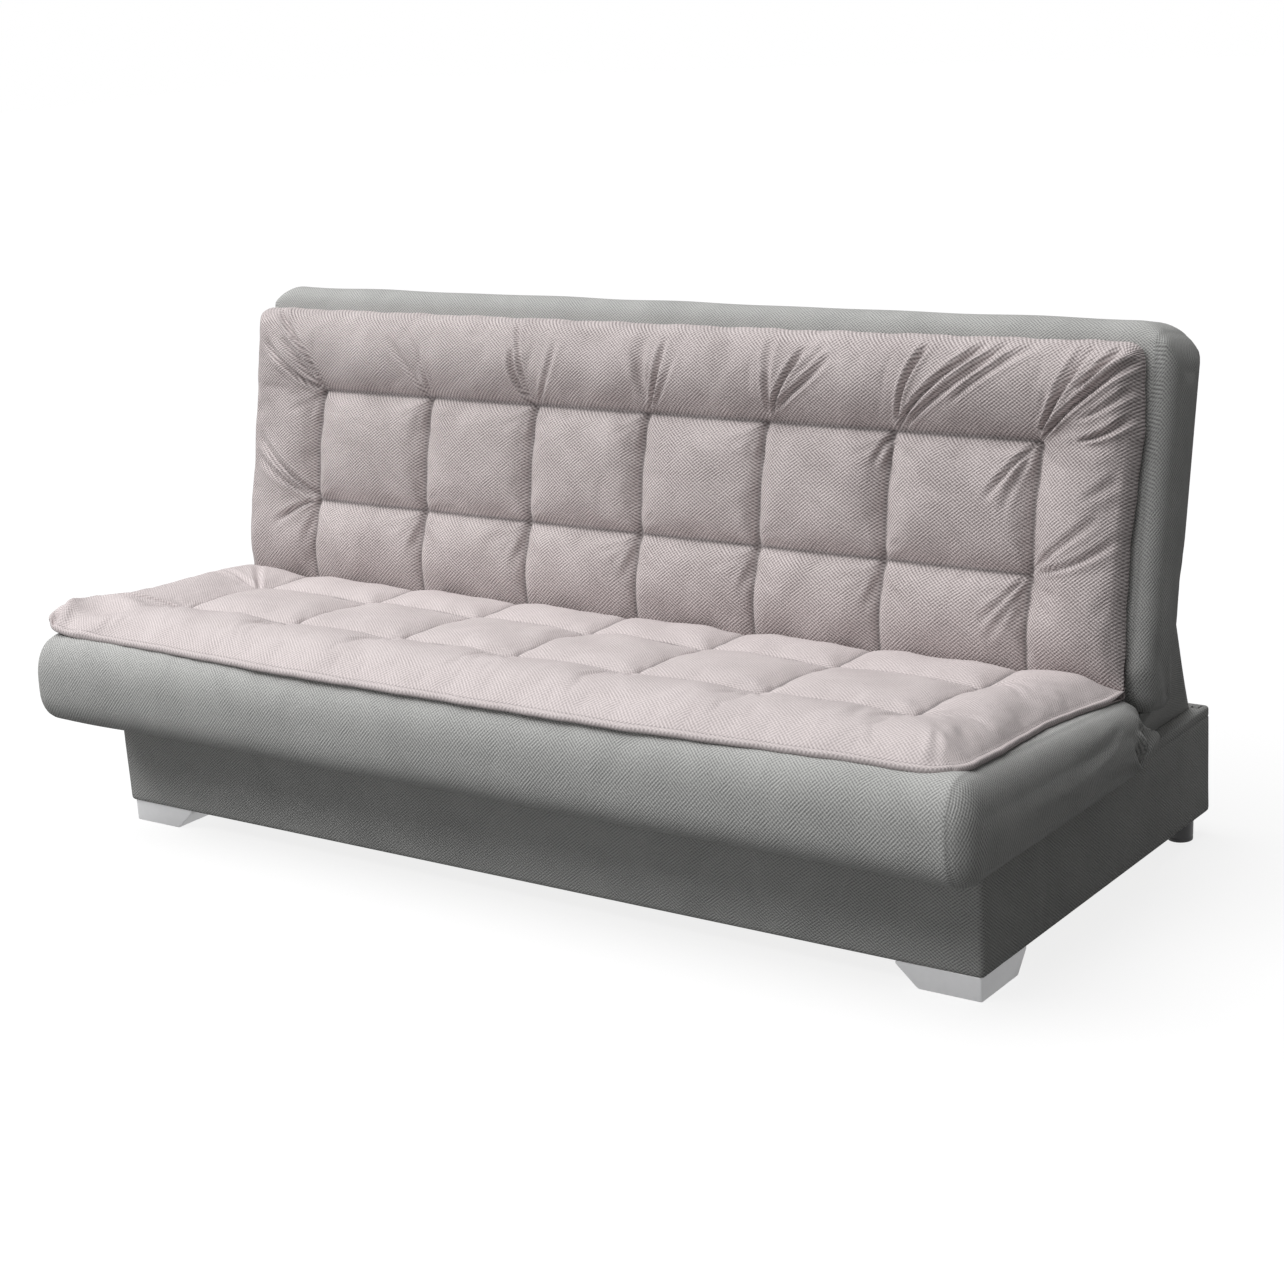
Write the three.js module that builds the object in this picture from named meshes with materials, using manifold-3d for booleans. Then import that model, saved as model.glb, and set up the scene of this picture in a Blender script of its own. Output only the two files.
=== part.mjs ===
// A three-seat sofa bed without arms. A fabric-covered storage box stands on low feet and carries
// a seat, which lifts at its front, and a back, which folds down level with the seat.
// Millimetres. X runs along the sofa, Y from its front to its rear, Z up.
import * as THREE from "three";
import { mergeVertices } from "three/addons/utils/BufferGeometryUtils.js";
import Module from "manifold-3d";

const wasm = await Module();
wasm.setup();

// Between pieces that touch, and how far a cut runs past the piece that it cuts.
const clearance = 0.3;
const overrun = 30;

// Length of the seat and the back, and how far the box and the pads end inside it.
const sofaLength = 1920;
const boxSideInset = 65.5;
const seatPadSideInset = 17;
const backPadSideInset = 29;

// Storage box: boards inside a padded fabric cover.
const boxDepth = 805;
const boxHeight = 186;
const boardThickness = 18;
const coverThickness = 7;
const coverCornerRadius = 9;
const floorPanelThickness = 5;
const battenHeight = 20;
const battenWidth = 45;
const cornerBlockSize = 38;
const cornerBlockHeight = 135;

// Feet: silver corner feet in front, black turned feet at the rear.
const footHeight = 41;
const frontFootWidth = 146;
const frontFootDepth = 142;
const frontFootWidthTaper = 38;
const frontFootDepthTaper = 29;
const frontFootLip = 7;
const frontFootInset = 7;
const frontFootEdge = 3;
const rearFootRadius = 22.5;
const rearFootTaper = 2;
const rearFootCollar = 6;
const rearFootInsetX = 33;
const rearFootInsetY = 50;

// Seat: an upholstered body with a spring unit in it, and a tufted pad on top.
const seatDepth = 590;
const seatOverhang = 150;
const seatRearThickness = 123;
const seatTilt = THREE.MathUtils.degToRad(4.4);
const seatCornerRadius = 62;
const seatRearCornerRadius = 45;
const seatLowerRounding = 35;
const seatUpperRounding = 40;
const seatFrontLowerRounding = 48;
const seatFrontUpperRounding = 55;

// Back: an upholstered body on its own frame, with a tufted pad in front.
const backLean = THREE.MathUtils.degToRad(12.5);
const backThickness = 130;
const backHeight = 605;
const backCornerRadius = 75;
const backLowerCornerRadius = 50;
const backFrontRounding = 30;
const backRearRounding = 45;
const backToeCutHeight = 67;
const backToeCutDepth = 29;

// Frames and springs inside the seat and the back.
const railHeight = 40;
const railWidth = 30;
const clothThickness = 2;
const seatCavityDepth = 95;
const seatCavityFrontWall = 62;
const seatCavityRearWall = 28;
const backFoam = 35;
const backCavityRim = 53;
const backCavityTopWall = 52;

// Hinge mechanism, one at each end of the box. Pivot heights are above the box's rim.
const seatPivotHeight = 103;
const backPivotHeight = 99;
const backPivotBehindSeat = 10;
const backToePastPivot = 5;
const flatBackLift = 4.2;
const plateThickness = 5;
const plateGap = 1;
const boltRadius = 5;
const boltHeadRadius = 9;
const boltHeadHeight = 5;
const mechanismSlotWidth = 33;
const mechanismSlotInner = 24;
const slotHeadroom = 2;
const slotFrontGap = 8;
const seatArmRadius = 12;
const seatArmHeight = 30;
const seatArmElbowLength = 36;
const seatArmLength = 180;
const backArmRadius = 16;
const backArmWidth = 25.6;
const backArmRise = 40;
const backArmLength = 112;
const backArmEndWidth = 37;
const bracketEar = 30;
const bracketDrop = 124;
const bracketRimDrop = 1.2;
const bracketBehindPivot = 45;

// Locking quadrant and its pawl.
const ratchetRadius = 42.5;
const ratchetWebRadius = 22;
const toothDepth = 2.5;
const toothPitch = THREE.MathUtils.degToRad(15);
const toothFlatShare = 0.3;
const toothLeadShare = 3;
const toothReliefShare = 1.2;
const toothCount = 5;
const pawlNoseAngle = THREE.MathUtils.degToRad(-80);
const pawlPivotBehind = 28;
const pawlPivotBelow = 64;
const pawlRadius = 9;
const pawlNoseWidth = 3;
const pawlTipLength = 3.7;
const pawlPinRadius = 4;
const pawlPinHeadRadius = 6.4;
const pawlPinHeadHeight = 3;

// Rear skirt.
const skirtTopUpBack = 181;
const skirtTopInset = 35;
const skirtToeInset = 22.5;
const skirtStandOff = 1.2;
const skirtHem = 12;
const skirtSag = 16;
const skirtSideGap = 8;
const skirtFolds = 5;
const skirtFoldDepth = 5;

// Tufted pads.
const tuftSpacing = 245;
const tuftColumns = 5;
const outerTuftX = 757;
const tuftRowSpacing = 209;
const padSeamThickness = 20;
const padCrown = 24;
const padEdgeThickness = 13;
const padEdgeRounding = 46;
const padCreaseRounding = 130;
const padCreaseThickness = 8;
const padCornerRadius = 26;
const seatPadFrontOverhang = 6;
const seatPadFrontBorder = 212;
const seatPadRearGap = 24;
const backPadTopBorder = 156;
const backPadBottomBorder = 150;
const backPadToeGap = 50;

// Derived places.
const sofaHalf = sofaLength / 2;
const boxHalf = sofaHalf - boxSideInset;
const boxTop = footHeight + boxHeight;
const boardOuterX = boxHalf - coverThickness - clearance;
const boardInnerX = boardOuterX - boardThickness;
const boardFrontY = coverThickness + clearance;
const boardRearY = boxDepth - coverThickness - clearance;
const insideFrontY = boardFrontY + boardThickness;
const insideRearY = boardRearY - boardThickness;
const seatBottom = boxTop + clearance;
const seatFrontY = -seatOverhang;
const seatRearY = seatFrontY + seatDepth;
const seatPivotY = seatRearY - seatLowerRounding;
const seatPivotZ = boxTop + seatPivotHeight;
const backPivotY = seatRearY + backPivotBehindSeat;
const backPivotZ = boxTop + backPivotHeight;
const pawlPivotY = backPivotY + pawlPivotBehind;
const pawlPivotZ = backPivotZ - pawlPivotBelow;
const bracketOuterX = boardInnerX - clearance - clothThickness - clearance;
const bracketInnerX = bracketOuterX - plateThickness;
const seatArmOuterX = bracketInnerX - plateGap;
const seatArmInnerX = seatArmOuterX - plateThickness;
const backArmOuterX = seatArmInnerX - plateGap;
const backArmInnerX = backArmOuterX - plateThickness;
const cavityHalf = seatArmOuterX + clearance;
const slotInnerX = bracketInnerX - mechanismSlotInner + plateThickness;
const slotOuterX = slotInnerX + mechanismSlotWidth;
const seatRailX = seatArmInnerX - clearance;
const backRailX = backArmInnerX - clearance;

const finishes = {
  greyFabric: new THREE.MeshStandardMaterial({ color: 0x7b7c7a, roughness: 0.95 }),
  roseFabric: new THREE.MeshStandardMaterial({ color: 0xc4b9b9, roughness: 0.95 }),
  liningCloth: new THREE.MeshStandardMaterial({ color: 0x4a4a4b, roughness: 1 }),
  springFelt: new THREE.MeshStandardMaterial({ color: 0xcfc8b8, roughness: 1 }),
  board: new THREE.MeshStandardMaterial({ color: 0xc2a67c, roughness: 0.75 }),
  pine: new THREE.MeshStandardMaterial({ color: 0xd9b98a, roughness: 0.7 }),
  steel: new THREE.MeshStandardMaterial({ color: 0x8a8f94, metalness: 0.9, roughness: 0.4 }),
  bolt: new THREE.MeshStandardMaterial({ color: 0xb4b6b8, metalness: 1, roughness: 0.3 }),
  silverPlastic: new THREE.MeshStandardMaterial({ color: 0xd4d7da, roughness: 0.35 }),
  blackPlastic: new THREE.MeshStandardMaterial({ color: 0x1d1d1f, roughness: 0.5 }),
};

// A closed geometry as a solid, with its matching corners merged.
function solidOf(geometry) {
  const bare = new THREE.BufferGeometry();
  bare.setAttribute("position", geometry.getAttribute("position").clone());
  if (geometry.index) bare.setIndex(geometry.index.clone());
  const merged = mergeVertices(bare, 1e-4);
  return new wasm.Manifold(
    new wasm.Mesh({
      numProp: 3,
      vertProperties: Float32Array.from(merged.attributes.position.array),
      triVerts: Uint32Array.from(merged.index.array),
    }),
  );
}

function geometryOf(solid) {
  const mesh = solid.getMesh();
  const geometry = new THREE.BufferGeometry();
  geometry.setAttribute("position", new THREE.BufferAttribute(mesh.vertProperties, 3));
  geometry.setIndex(new THREE.BufferAttribute(mesh.triVerts, 1));
  geometry.computeVertexNormals();
  return geometry;
}

const cut = (geometry, ...tools) =>
  geometryOf(tools.reduce((solid, tool) => solid.subtract(solidOf(tool)), solidOf(geometry)));
const join = (...pieces) => geometryOf(pieces.map(solidOf).reduce((a, b) => a.add(b)));

// A box from its lowest to its highest corner.
function block([x0, y0, z0], [x1, y1, z1]) {
  const geometry = new THREE.BoxGeometry(x1 - x0, y1 - y0, z1 - z0);
  return geometry.translate((x0 + x1) / 2, (y0 + y1) / 2, (z0 + z1) / 2);
}

// A shape drawn with Y to the right and Z up, given its thickness from x0 to x1.
function plate(shape, x0, x1) {
  const geometry = new THREE.ExtrudeGeometry(shape, {
    depth: x1 - x0,
    bevelEnabled: false,
    curveSegments: 10,
  });
  const upright = new THREE.Matrix4().makeBasis(
    new THREE.Vector3(0, 1, 0),
    new THREE.Vector3(0, 0, 1),
    new THREE.Vector3(1, 0, 0),
  );
  return geometry.applyMatrix4(upright).translate(x0, 0, 0);
}

const outline = (points) => new THREE.Shape(points.map(([y, z]) => new THREE.Vector2(y, z)));

function disc(y, z, radius) {
  const shape = new THREE.Shape();
  shape.absarc(y, z, radius, 0, Math.PI * 2);
  return shape;
}

// A flat bar of one width between two points, with round ends.
function bar([ay, az], [by, bz], width) {
  const angle = Math.atan2(bz - az, by - ay);
  const shape = new THREE.Shape();
  const quarter = Math.PI / 2;
  shape.absarc(ay, az, width / 2, angle + quarter, angle + 3 * quarter);
  shape.absarc(by, bz, width / 2, angle - quarter, angle + quarter);
  return shape;
}

// Mirrored pieces: the left one is the right one turned over across the middle plane.
function mirrored(geometry) {
  return geometryOf(solidOf(geometry).mirror([1, 0, 0]));
}

const sofa = new THREE.Group();
const boxGroup = new THREE.Group();
const seatGroup = new THREE.Group();
const backGroup = new THREE.Group();
sofa.add(boxGroup, seatGroup, backGroup);

function addPiece(group, name, geometry, material) {
  const mesh = new THREE.Mesh(geometry, material);
  mesh.name = name;
  group.add(mesh);
  return mesh;
}

function addPair(group, name, geometry, material) {
  addPiece(group, name + "_right", geometry, material);
  addPiece(group, name + "_left", mirrored(geometry), material);
}

// Corners of a rounded rectangle, the same count for every radius, counter-clockwise.
function roundedRectangle(x0, x1, y0, y1, radii, arcSteps) {
  const corners = [
    [x1, y0, -1, radii[0]],
    [x1, y1, 0, radii[1]],
    [x0, y1, 1, radii[1]],
    [x0, y0, 2, radii[0]],
  ];
  const middleX = (x0 + x1) / 2;
  const middleY = (y0 + y1) / 2;
  return corners.flatMap(([x, y, turn, radius]) => {
    const cx = x - Math.sign(x - middleX) * radius;
    const cy = y - Math.sign(y - middleY) * radius;
    return Array.from({ length: arcSteps + 1 }, (_, i) => {
      const angle = ((turn + i / arcSteps) * Math.PI) / 2;
      return [cx + radius * Math.cos(angle), cy + radius * Math.sin(angle)];
    });
  });
}

// A closed skin through rings of the same number of points, with a flat lid on each end ring.
function loft(rings) {
  const count = rings[0].length;
  const positions = rings.flat(2);
  const faces = [];
  for (let r = 0; r + 1 < rings.length; r += 1) {
    for (let i = 0; i < count; i += 1) {
      const next = (i + 1) % count;
      const [a, b, c, d] = [i, next, next + count, i + count].map((k) => k + r * count);
      faces.push(a, b, c, a, c, d);
    }
  }
  const last = (rings.length - 1) * count;
  const lid = (ring) =>
    THREE.ShapeUtils.triangulateShape(
      ring.map(([x, y]) => new THREE.Vector2(x, y)),
      [],
    );
  for (const [a, b, c] of lid(rings[0])) faces.push(c, b, a);
  for (const [a, b, c] of lid(rings[rings.length - 1])) faces.push(a + last, b + last, c + last);
  const geometry = new THREE.BufferGeometry();
  geometry.setAttribute("position", new THREE.Float32BufferAttribute(positions, 3));
  geometry.setIndex(faces);
  return geometry;
}

// Rounding of an edge: how far the skin draws in, and how far it has risen, at each step.
function roundingSteps(steps) {
  return Array.from({ length: steps + 1 }, (_, i) => {
    const angle = ((i / steps) * Math.PI) / 2;
    return [1 - Math.sin(angle), 1 - Math.cos(angle)];
  });
}

// Storage box
{
  const cover = (inset, radius) => {
    const points = roundedRectangle(
      -boxHalf + inset,
      boxHalf - inset,
      inset,
      boxDepth - inset,
      [radius, radius],
      4,
    );
    return new THREE.Shape(points.map(([x, y]) => new THREE.Vector2(x, y)));
  };
  const wall = cover(0, coverCornerRadius);
  const hollow = cover(coverThickness, clearance);
  wall.holes.push(hollow);
  const ring = new THREE.ExtrudeGeometry(wall, { depth: boxHeight, bevelEnabled: false });
  addPiece(boxGroup, "box_cover", ring.translate(0, 0, footHeight), finishes.greyFabric);

  const boardTop = boxTop - clearance;
  addPiece(
    boxGroup,
    "front_board",
    block([-boardOuterX, boardFrontY, footHeight], [boardOuterX, insideFrontY, boardTop]),
    finishes.board,
  );
  addPiece(
    boxGroup,
    "rear_board",
    block([-boardOuterX, insideRearY, footHeight], [boardOuterX, boardRearY, boardTop]),
    finishes.board,
  );
  addPair(
    boxGroup,
    "side_board",
    block(
      [boardInnerX, insideFrontY + clearance, footHeight],
      [boardOuterX, insideRearY - clearance, boardTop],
    ),
    finishes.board,
  );

  const battenY0 = insideFrontY + clearance;
  const battenY1 = insideRearY - clearance;
  const battenX1 = boardInnerX - clearance;
  const battenTop = footHeight + battenHeight;
  addPair(
    boxGroup,
    "floor_batten",
    block([battenX1 - battenWidth, battenY0, footHeight], [battenX1, battenY1, battenTop]),
    finishes.pine,
  );
  addPiece(
    boxGroup,
    "floor_batten_middle",
    block([-battenWidth / 2, battenY0, footHeight], [battenWidth / 2, battenY1, battenTop]),
    finishes.pine,
  );
  const panelBottom = battenTop + clearance;
  const panelTop = panelBottom + floorPanelThickness;
  addPiece(
    boxGroup,
    "floor_panel",
    block([-battenX1, battenY0, panelBottom], [battenX1, battenY1, panelTop]),
    finishes.board,
  );
  for (const [end, y0] of [
    ["front", battenY0],
    ["rear", battenY1 - cornerBlockSize],
  ]) {
    const low = [battenX1 - cornerBlockSize, y0, panelTop + clearance];
    const high = [battenX1, y0 + cornerBlockSize, panelTop + clearance + cornerBlockHeight];
    addPair(boxGroup, "corner_block_" + end, block(low, high), finishes.pine);
  }
}

// Feet. A front foot's two outer faces stand upright and its two inner faces slope in below a lip.
{
  const footTop = footHeight - clearance;
  const outerX = boxHalf - frontFootInset;
  const ring = (z, width, depth) =>
    roundedRectangle(
      outerX - width,
      outerX,
      frontFootInset,
      frontFootInset + depth,
      [frontFootEdge, frontFootEdge],
      2,
    ).map(([x, y]) => [x, y, z]);
  const foot = loft([
    ring(0, frontFootWidth - frontFootWidthTaper, frontFootDepth - frontFootDepthTaper),
    ring(footTop - frontFootLip, frontFootWidth, frontFootDepth),
    ring(footTop, frontFootWidth, frontFootDepth),
  ]);
  addPair(boxGroup, "front_foot", foot, finishes.silverPlastic);

  const profile = [
    [0, 0],
    [rearFootRadius - rearFootTaper, 0],
    [rearFootRadius, footTop - rearFootCollar],
    [rearFootRadius + rearFootTaper, footTop - rearFootCollar],
    [rearFootRadius + rearFootTaper, footTop],
    [0, footTop],
  ];
  const turned = new THREE.LatheGeometry(
    profile.map(([r, z]) => new THREE.Vector2(r, z)),
    32,
  )
    .rotateX(Math.PI / 2)
    .translate(boxHalf - rearFootInsetX, boxDepth - rearFootInsetY, 0);
  addPair(boxGroup, "rear_foot", geometryOf(solidOf(turned)), finishes.blackPlastic);
}

// Where the seat's slanting top lies above its flat underside.
const seatThicknessAt = (y) => seatRearThickness + (seatRearY - y) * Math.tan(seatTilt);

// Seat body: rings rise from the flat underside, swell over the rounded edges and close on top.
{
  const ring = (side, front, rear, height) => {
    const points = roundedRectangle(
      -sofaHalf + side,
      sofaHalf - side,
      seatFrontY + front,
      seatRearY - rear,
      [seatCornerRadius - side, seatRearCornerRadius - rear],
      4,
    );
    return points.map(([x, y]) => [x, y, seatBottom + height(y)]);
  };
  const lower = roundingSteps(4).map(([inset, rise]) =>
    ring(
      inset * seatLowerRounding,
      inset * seatFrontLowerRounding,
      inset * seatLowerRounding,
      () => rise * seatLowerRounding,
    ),
  );
  const upper = roundingSteps(4)
    .reverse()
    .map(([inset, rise]) =>
      ring(
        inset * seatUpperRounding,
        inset * seatFrontUpperRounding,
        inset * seatUpperRounding,
        (y) => seatThicknessAt(y) - rise * seatUpperRounding,
      ),
    );
  const slotTop = seatPivotZ + seatArmRadius + slotHeadroom;
  const slotFront = seatPivotY - seatArmRadius - slotFrontGap;
  const openFront = seatPivotY + seatArmRadius;
  const slot = join(
    block(
      [slotInnerX, slotFront, seatBottom - overrun],
      [slotOuterX, seatRearY + overrun, slotTop],
    ),
    block(
      [slotInnerX, openFront, seatBottom - overrun],
      [slotOuterX, seatRearY + overrun, seatBottom + seatThicknessAt(seatFrontY)],
    ),
  );
  const cavityFront = seatFrontY + seatCavityFrontWall;
  const cavityRear = seatRearY - seatCavityRearWall;
  const cavityTop = seatBottom + seatCavityDepth;
  const cavity = block(
    [-cavityHalf, cavityFront, seatBottom - overrun],
    [cavityHalf, cavityRear, cavityTop],
  );
  const body = cut(loft([...lower, ...upper]), cavity, slot, mirrored(slot));
  addPiece(seatGroup, "seat_body", body, finishes.greyFabric);

  // Frame in the cavity: cloth below, rails on it, and the spring unit on the rails.
  const frameFront = cavityFront + clearance;
  const frameRear = cavityRear - clearance;
  const clothTop = seatBottom + clothThickness;
  addPiece(
    seatGroup,
    "seat_lining",
    block([-seatRailX, frameFront, seatBottom], [seatRailX, frameRear, clothTop]),
    finishes.liningCloth,
  );
  const railBottom = clothTop + clearance;
  const railTop = railBottom + railHeight;
  addPiece(
    seatGroup,
    "seat_rail_front",
    block([-seatRailX, frameFront, railBottom], [seatRailX, frameFront + railWidth, railTop]),
    finishes.pine,
  );
  addPiece(
    seatGroup,
    "seat_rail_rear",
    block([-seatRailX, frameRear - railWidth, railBottom], [seatRailX, frameRear, railTop]),
    finishes.pine,
  );
  const crossFront = frameFront + railWidth + clearance;
  const crossRear = frameRear - railWidth - clearance;
  addPair(
    seatGroup,
    "seat_rail_side",
    block([seatRailX - railWidth, crossFront, railBottom], [seatRailX, crossRear, railTop]),
    finishes.pine,
  );
  addPiece(
    seatGroup,
    "seat_rail_middle",
    block([-railWidth / 2, crossFront, railBottom], [railWidth / 2, crossRear, railTop]),
    finishes.pine,
  );
  addPiece(
    seatGroup,
    "seat_spring_unit",
    block(
      [-seatRailX + railWidth / 2, frameFront, railTop + clearance],
      [seatRailX - railWidth / 2, frameRear, cavityTop - clearance],
    ),
    finishes.springFelt,
  );

  // Steel arm: from the pivot down to the outer face of the side rail.
  const armMiddle = (railBottom + railTop) / 2;
  const armStart = [seatPivotY, seatPivotZ];
  const armElbow = [seatPivotY - seatArmElbowLength, armMiddle];
  const armEnd = [seatPivotY - seatArmLength, armMiddle];
  const hole = plate(
    disc(seatPivotY, seatPivotZ, boltRadius + clearance),
    seatArmInnerX - overrun,
    seatArmOuterX + overrun,
  );
  const arm = cut(
    join(
      plate(bar(armStart, armElbow, seatArmRadius * 2), seatArmInnerX, seatArmOuterX),
      plate(bar(armElbow, armEnd, seatArmHeight), seatArmInnerX, seatArmOuterX),
    ),
    hole,
  );
  addPair(seatGroup, "seat_arm", arm, finishes.steel);
}

// Back, drawn flat on its rear face in its own group: X along, Y up the back, Z out of its front.
// The group's origin is the back pivot, and the group is turned up to the sitting position.
const backRearZ = flatBackLift - backPivotHeight;
const backFrontZ = backRearZ + backThickness;
const backToeY = -backToePastPivot;
const backTopY = backToeY + backHeight;
backGroup.position.set(0, backPivotY, backPivotZ);
backGroup.rotation.x = Math.PI / 2 - backLean;

const backFrame = {};
{
  const ring = (inset, z) =>
    roundedRectangle(
      -sofaHalf + inset,
      sofaHalf - inset,
      backToeY + inset,
      backTopY - inset,
      [backLowerCornerRadius - inset, backCornerRadius - inset],
      5,
    ).map(([x, y]) => [x, y, z]);
  const rear = roundingSteps(4).map(([inset, rise]) =>
    ring(inset * backRearRounding, backRearZ + rise * backRearRounding),
  );
  const front = roundingSteps(4)
    .reverse()
    .map(([inset, rise]) => ring(inset * backFrontRounding, backFrontZ - rise * backFrontRounding));
  const toeSlope = backToeCutDepth / backToeCutHeight;
  const toe = plate(
    outline([
      [backToeY - overrun, backFrontZ - backToeCutDepth - overrun * toeSlope],
      [backToeY, backFrontZ - backToeCutDepth],
      [backToeY + backToeCutHeight, backFrontZ],
      [backToeY + backToeCutHeight, backFrontZ + overrun],
      [backToeY - overrun, backFrontZ + overrun],
    ]),
    -sofaHalf - overrun,
    sofaHalf + overrun,
  );
  const cavityBottom = backToeY + backCavityRim;
  const cavityTop = backTopY - backCavityTopWall;
  const cavityFloor = backFrontZ - backFoam;
  const cavity = block(
    [-cavityHalf, cavityBottom, backRearZ - overrun],
    [cavityHalf, cavityTop, cavityFloor],
  );
  const slot = block(
    [slotInnerX, backToeY - overrun, backRearZ - overrun],
    [slotOuterX, cavityBottom + slotHeadroom, backFrontZ + overrun],
  );
  const body = cut(loft([...rear, ...front]), toe, cavity, slot, mirrored(slot));
  addPiece(backGroup, "back_body", body, finishes.greyFabric);

  const frameBottom = cavityBottom + slotHeadroom + clearance;
  const frameTop = cavityTop - clearance;
  const coverHalf = cavityHalf - clearance;
  addPiece(
    backGroup,
    "back_rear_cover",
    block([-coverHalf, frameBottom, backRearZ], [coverHalf, frameTop, backRearZ + clothThickness]),
    finishes.greyFabric,
  );
  const railBottom = backRearZ + clothThickness + clearance;
  const railTop = railBottom + railHeight;
  addPiece(
    backGroup,
    "back_rail_bottom",
    block([-backRailX, frameBottom, railBottom], [backRailX, frameBottom + railWidth, railTop]),
    finishes.pine,
  );
  addPiece(
    backGroup,
    "back_rail_top",
    block([-backRailX, frameTop - railWidth, railBottom], [backRailX, frameTop, railTop]),
    finishes.pine,
  );
  const crossBottom = frameBottom + railWidth + clearance;
  const crossTop = frameTop - railWidth - clearance;
  addPair(
    backGroup,
    "back_rail_side",
    block([backRailX - railWidth, crossBottom, railBottom], [backRailX, crossTop, railTop]),
    finishes.pine,
  );
  addPiece(
    backGroup,
    "back_rail_middle",
    block([-railWidth / 2, crossBottom, railBottom], [railWidth / 2, crossTop, railTop]),
    finishes.pine,
  );
  addPiece(
    backGroup,
    "back_spring_unit",
    block(
      [-backRailX + railWidth / 2, frameBottom, railTop + clearance],
      [backRailX - railWidth / 2, frameTop, cavityFloor - clearance],
    ),
    finishes.springFelt,
  );
  backFrame.railMiddle = (railBottom + railTop) / 2;
  backFrame.crossBottom = crossBottom;
}

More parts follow.
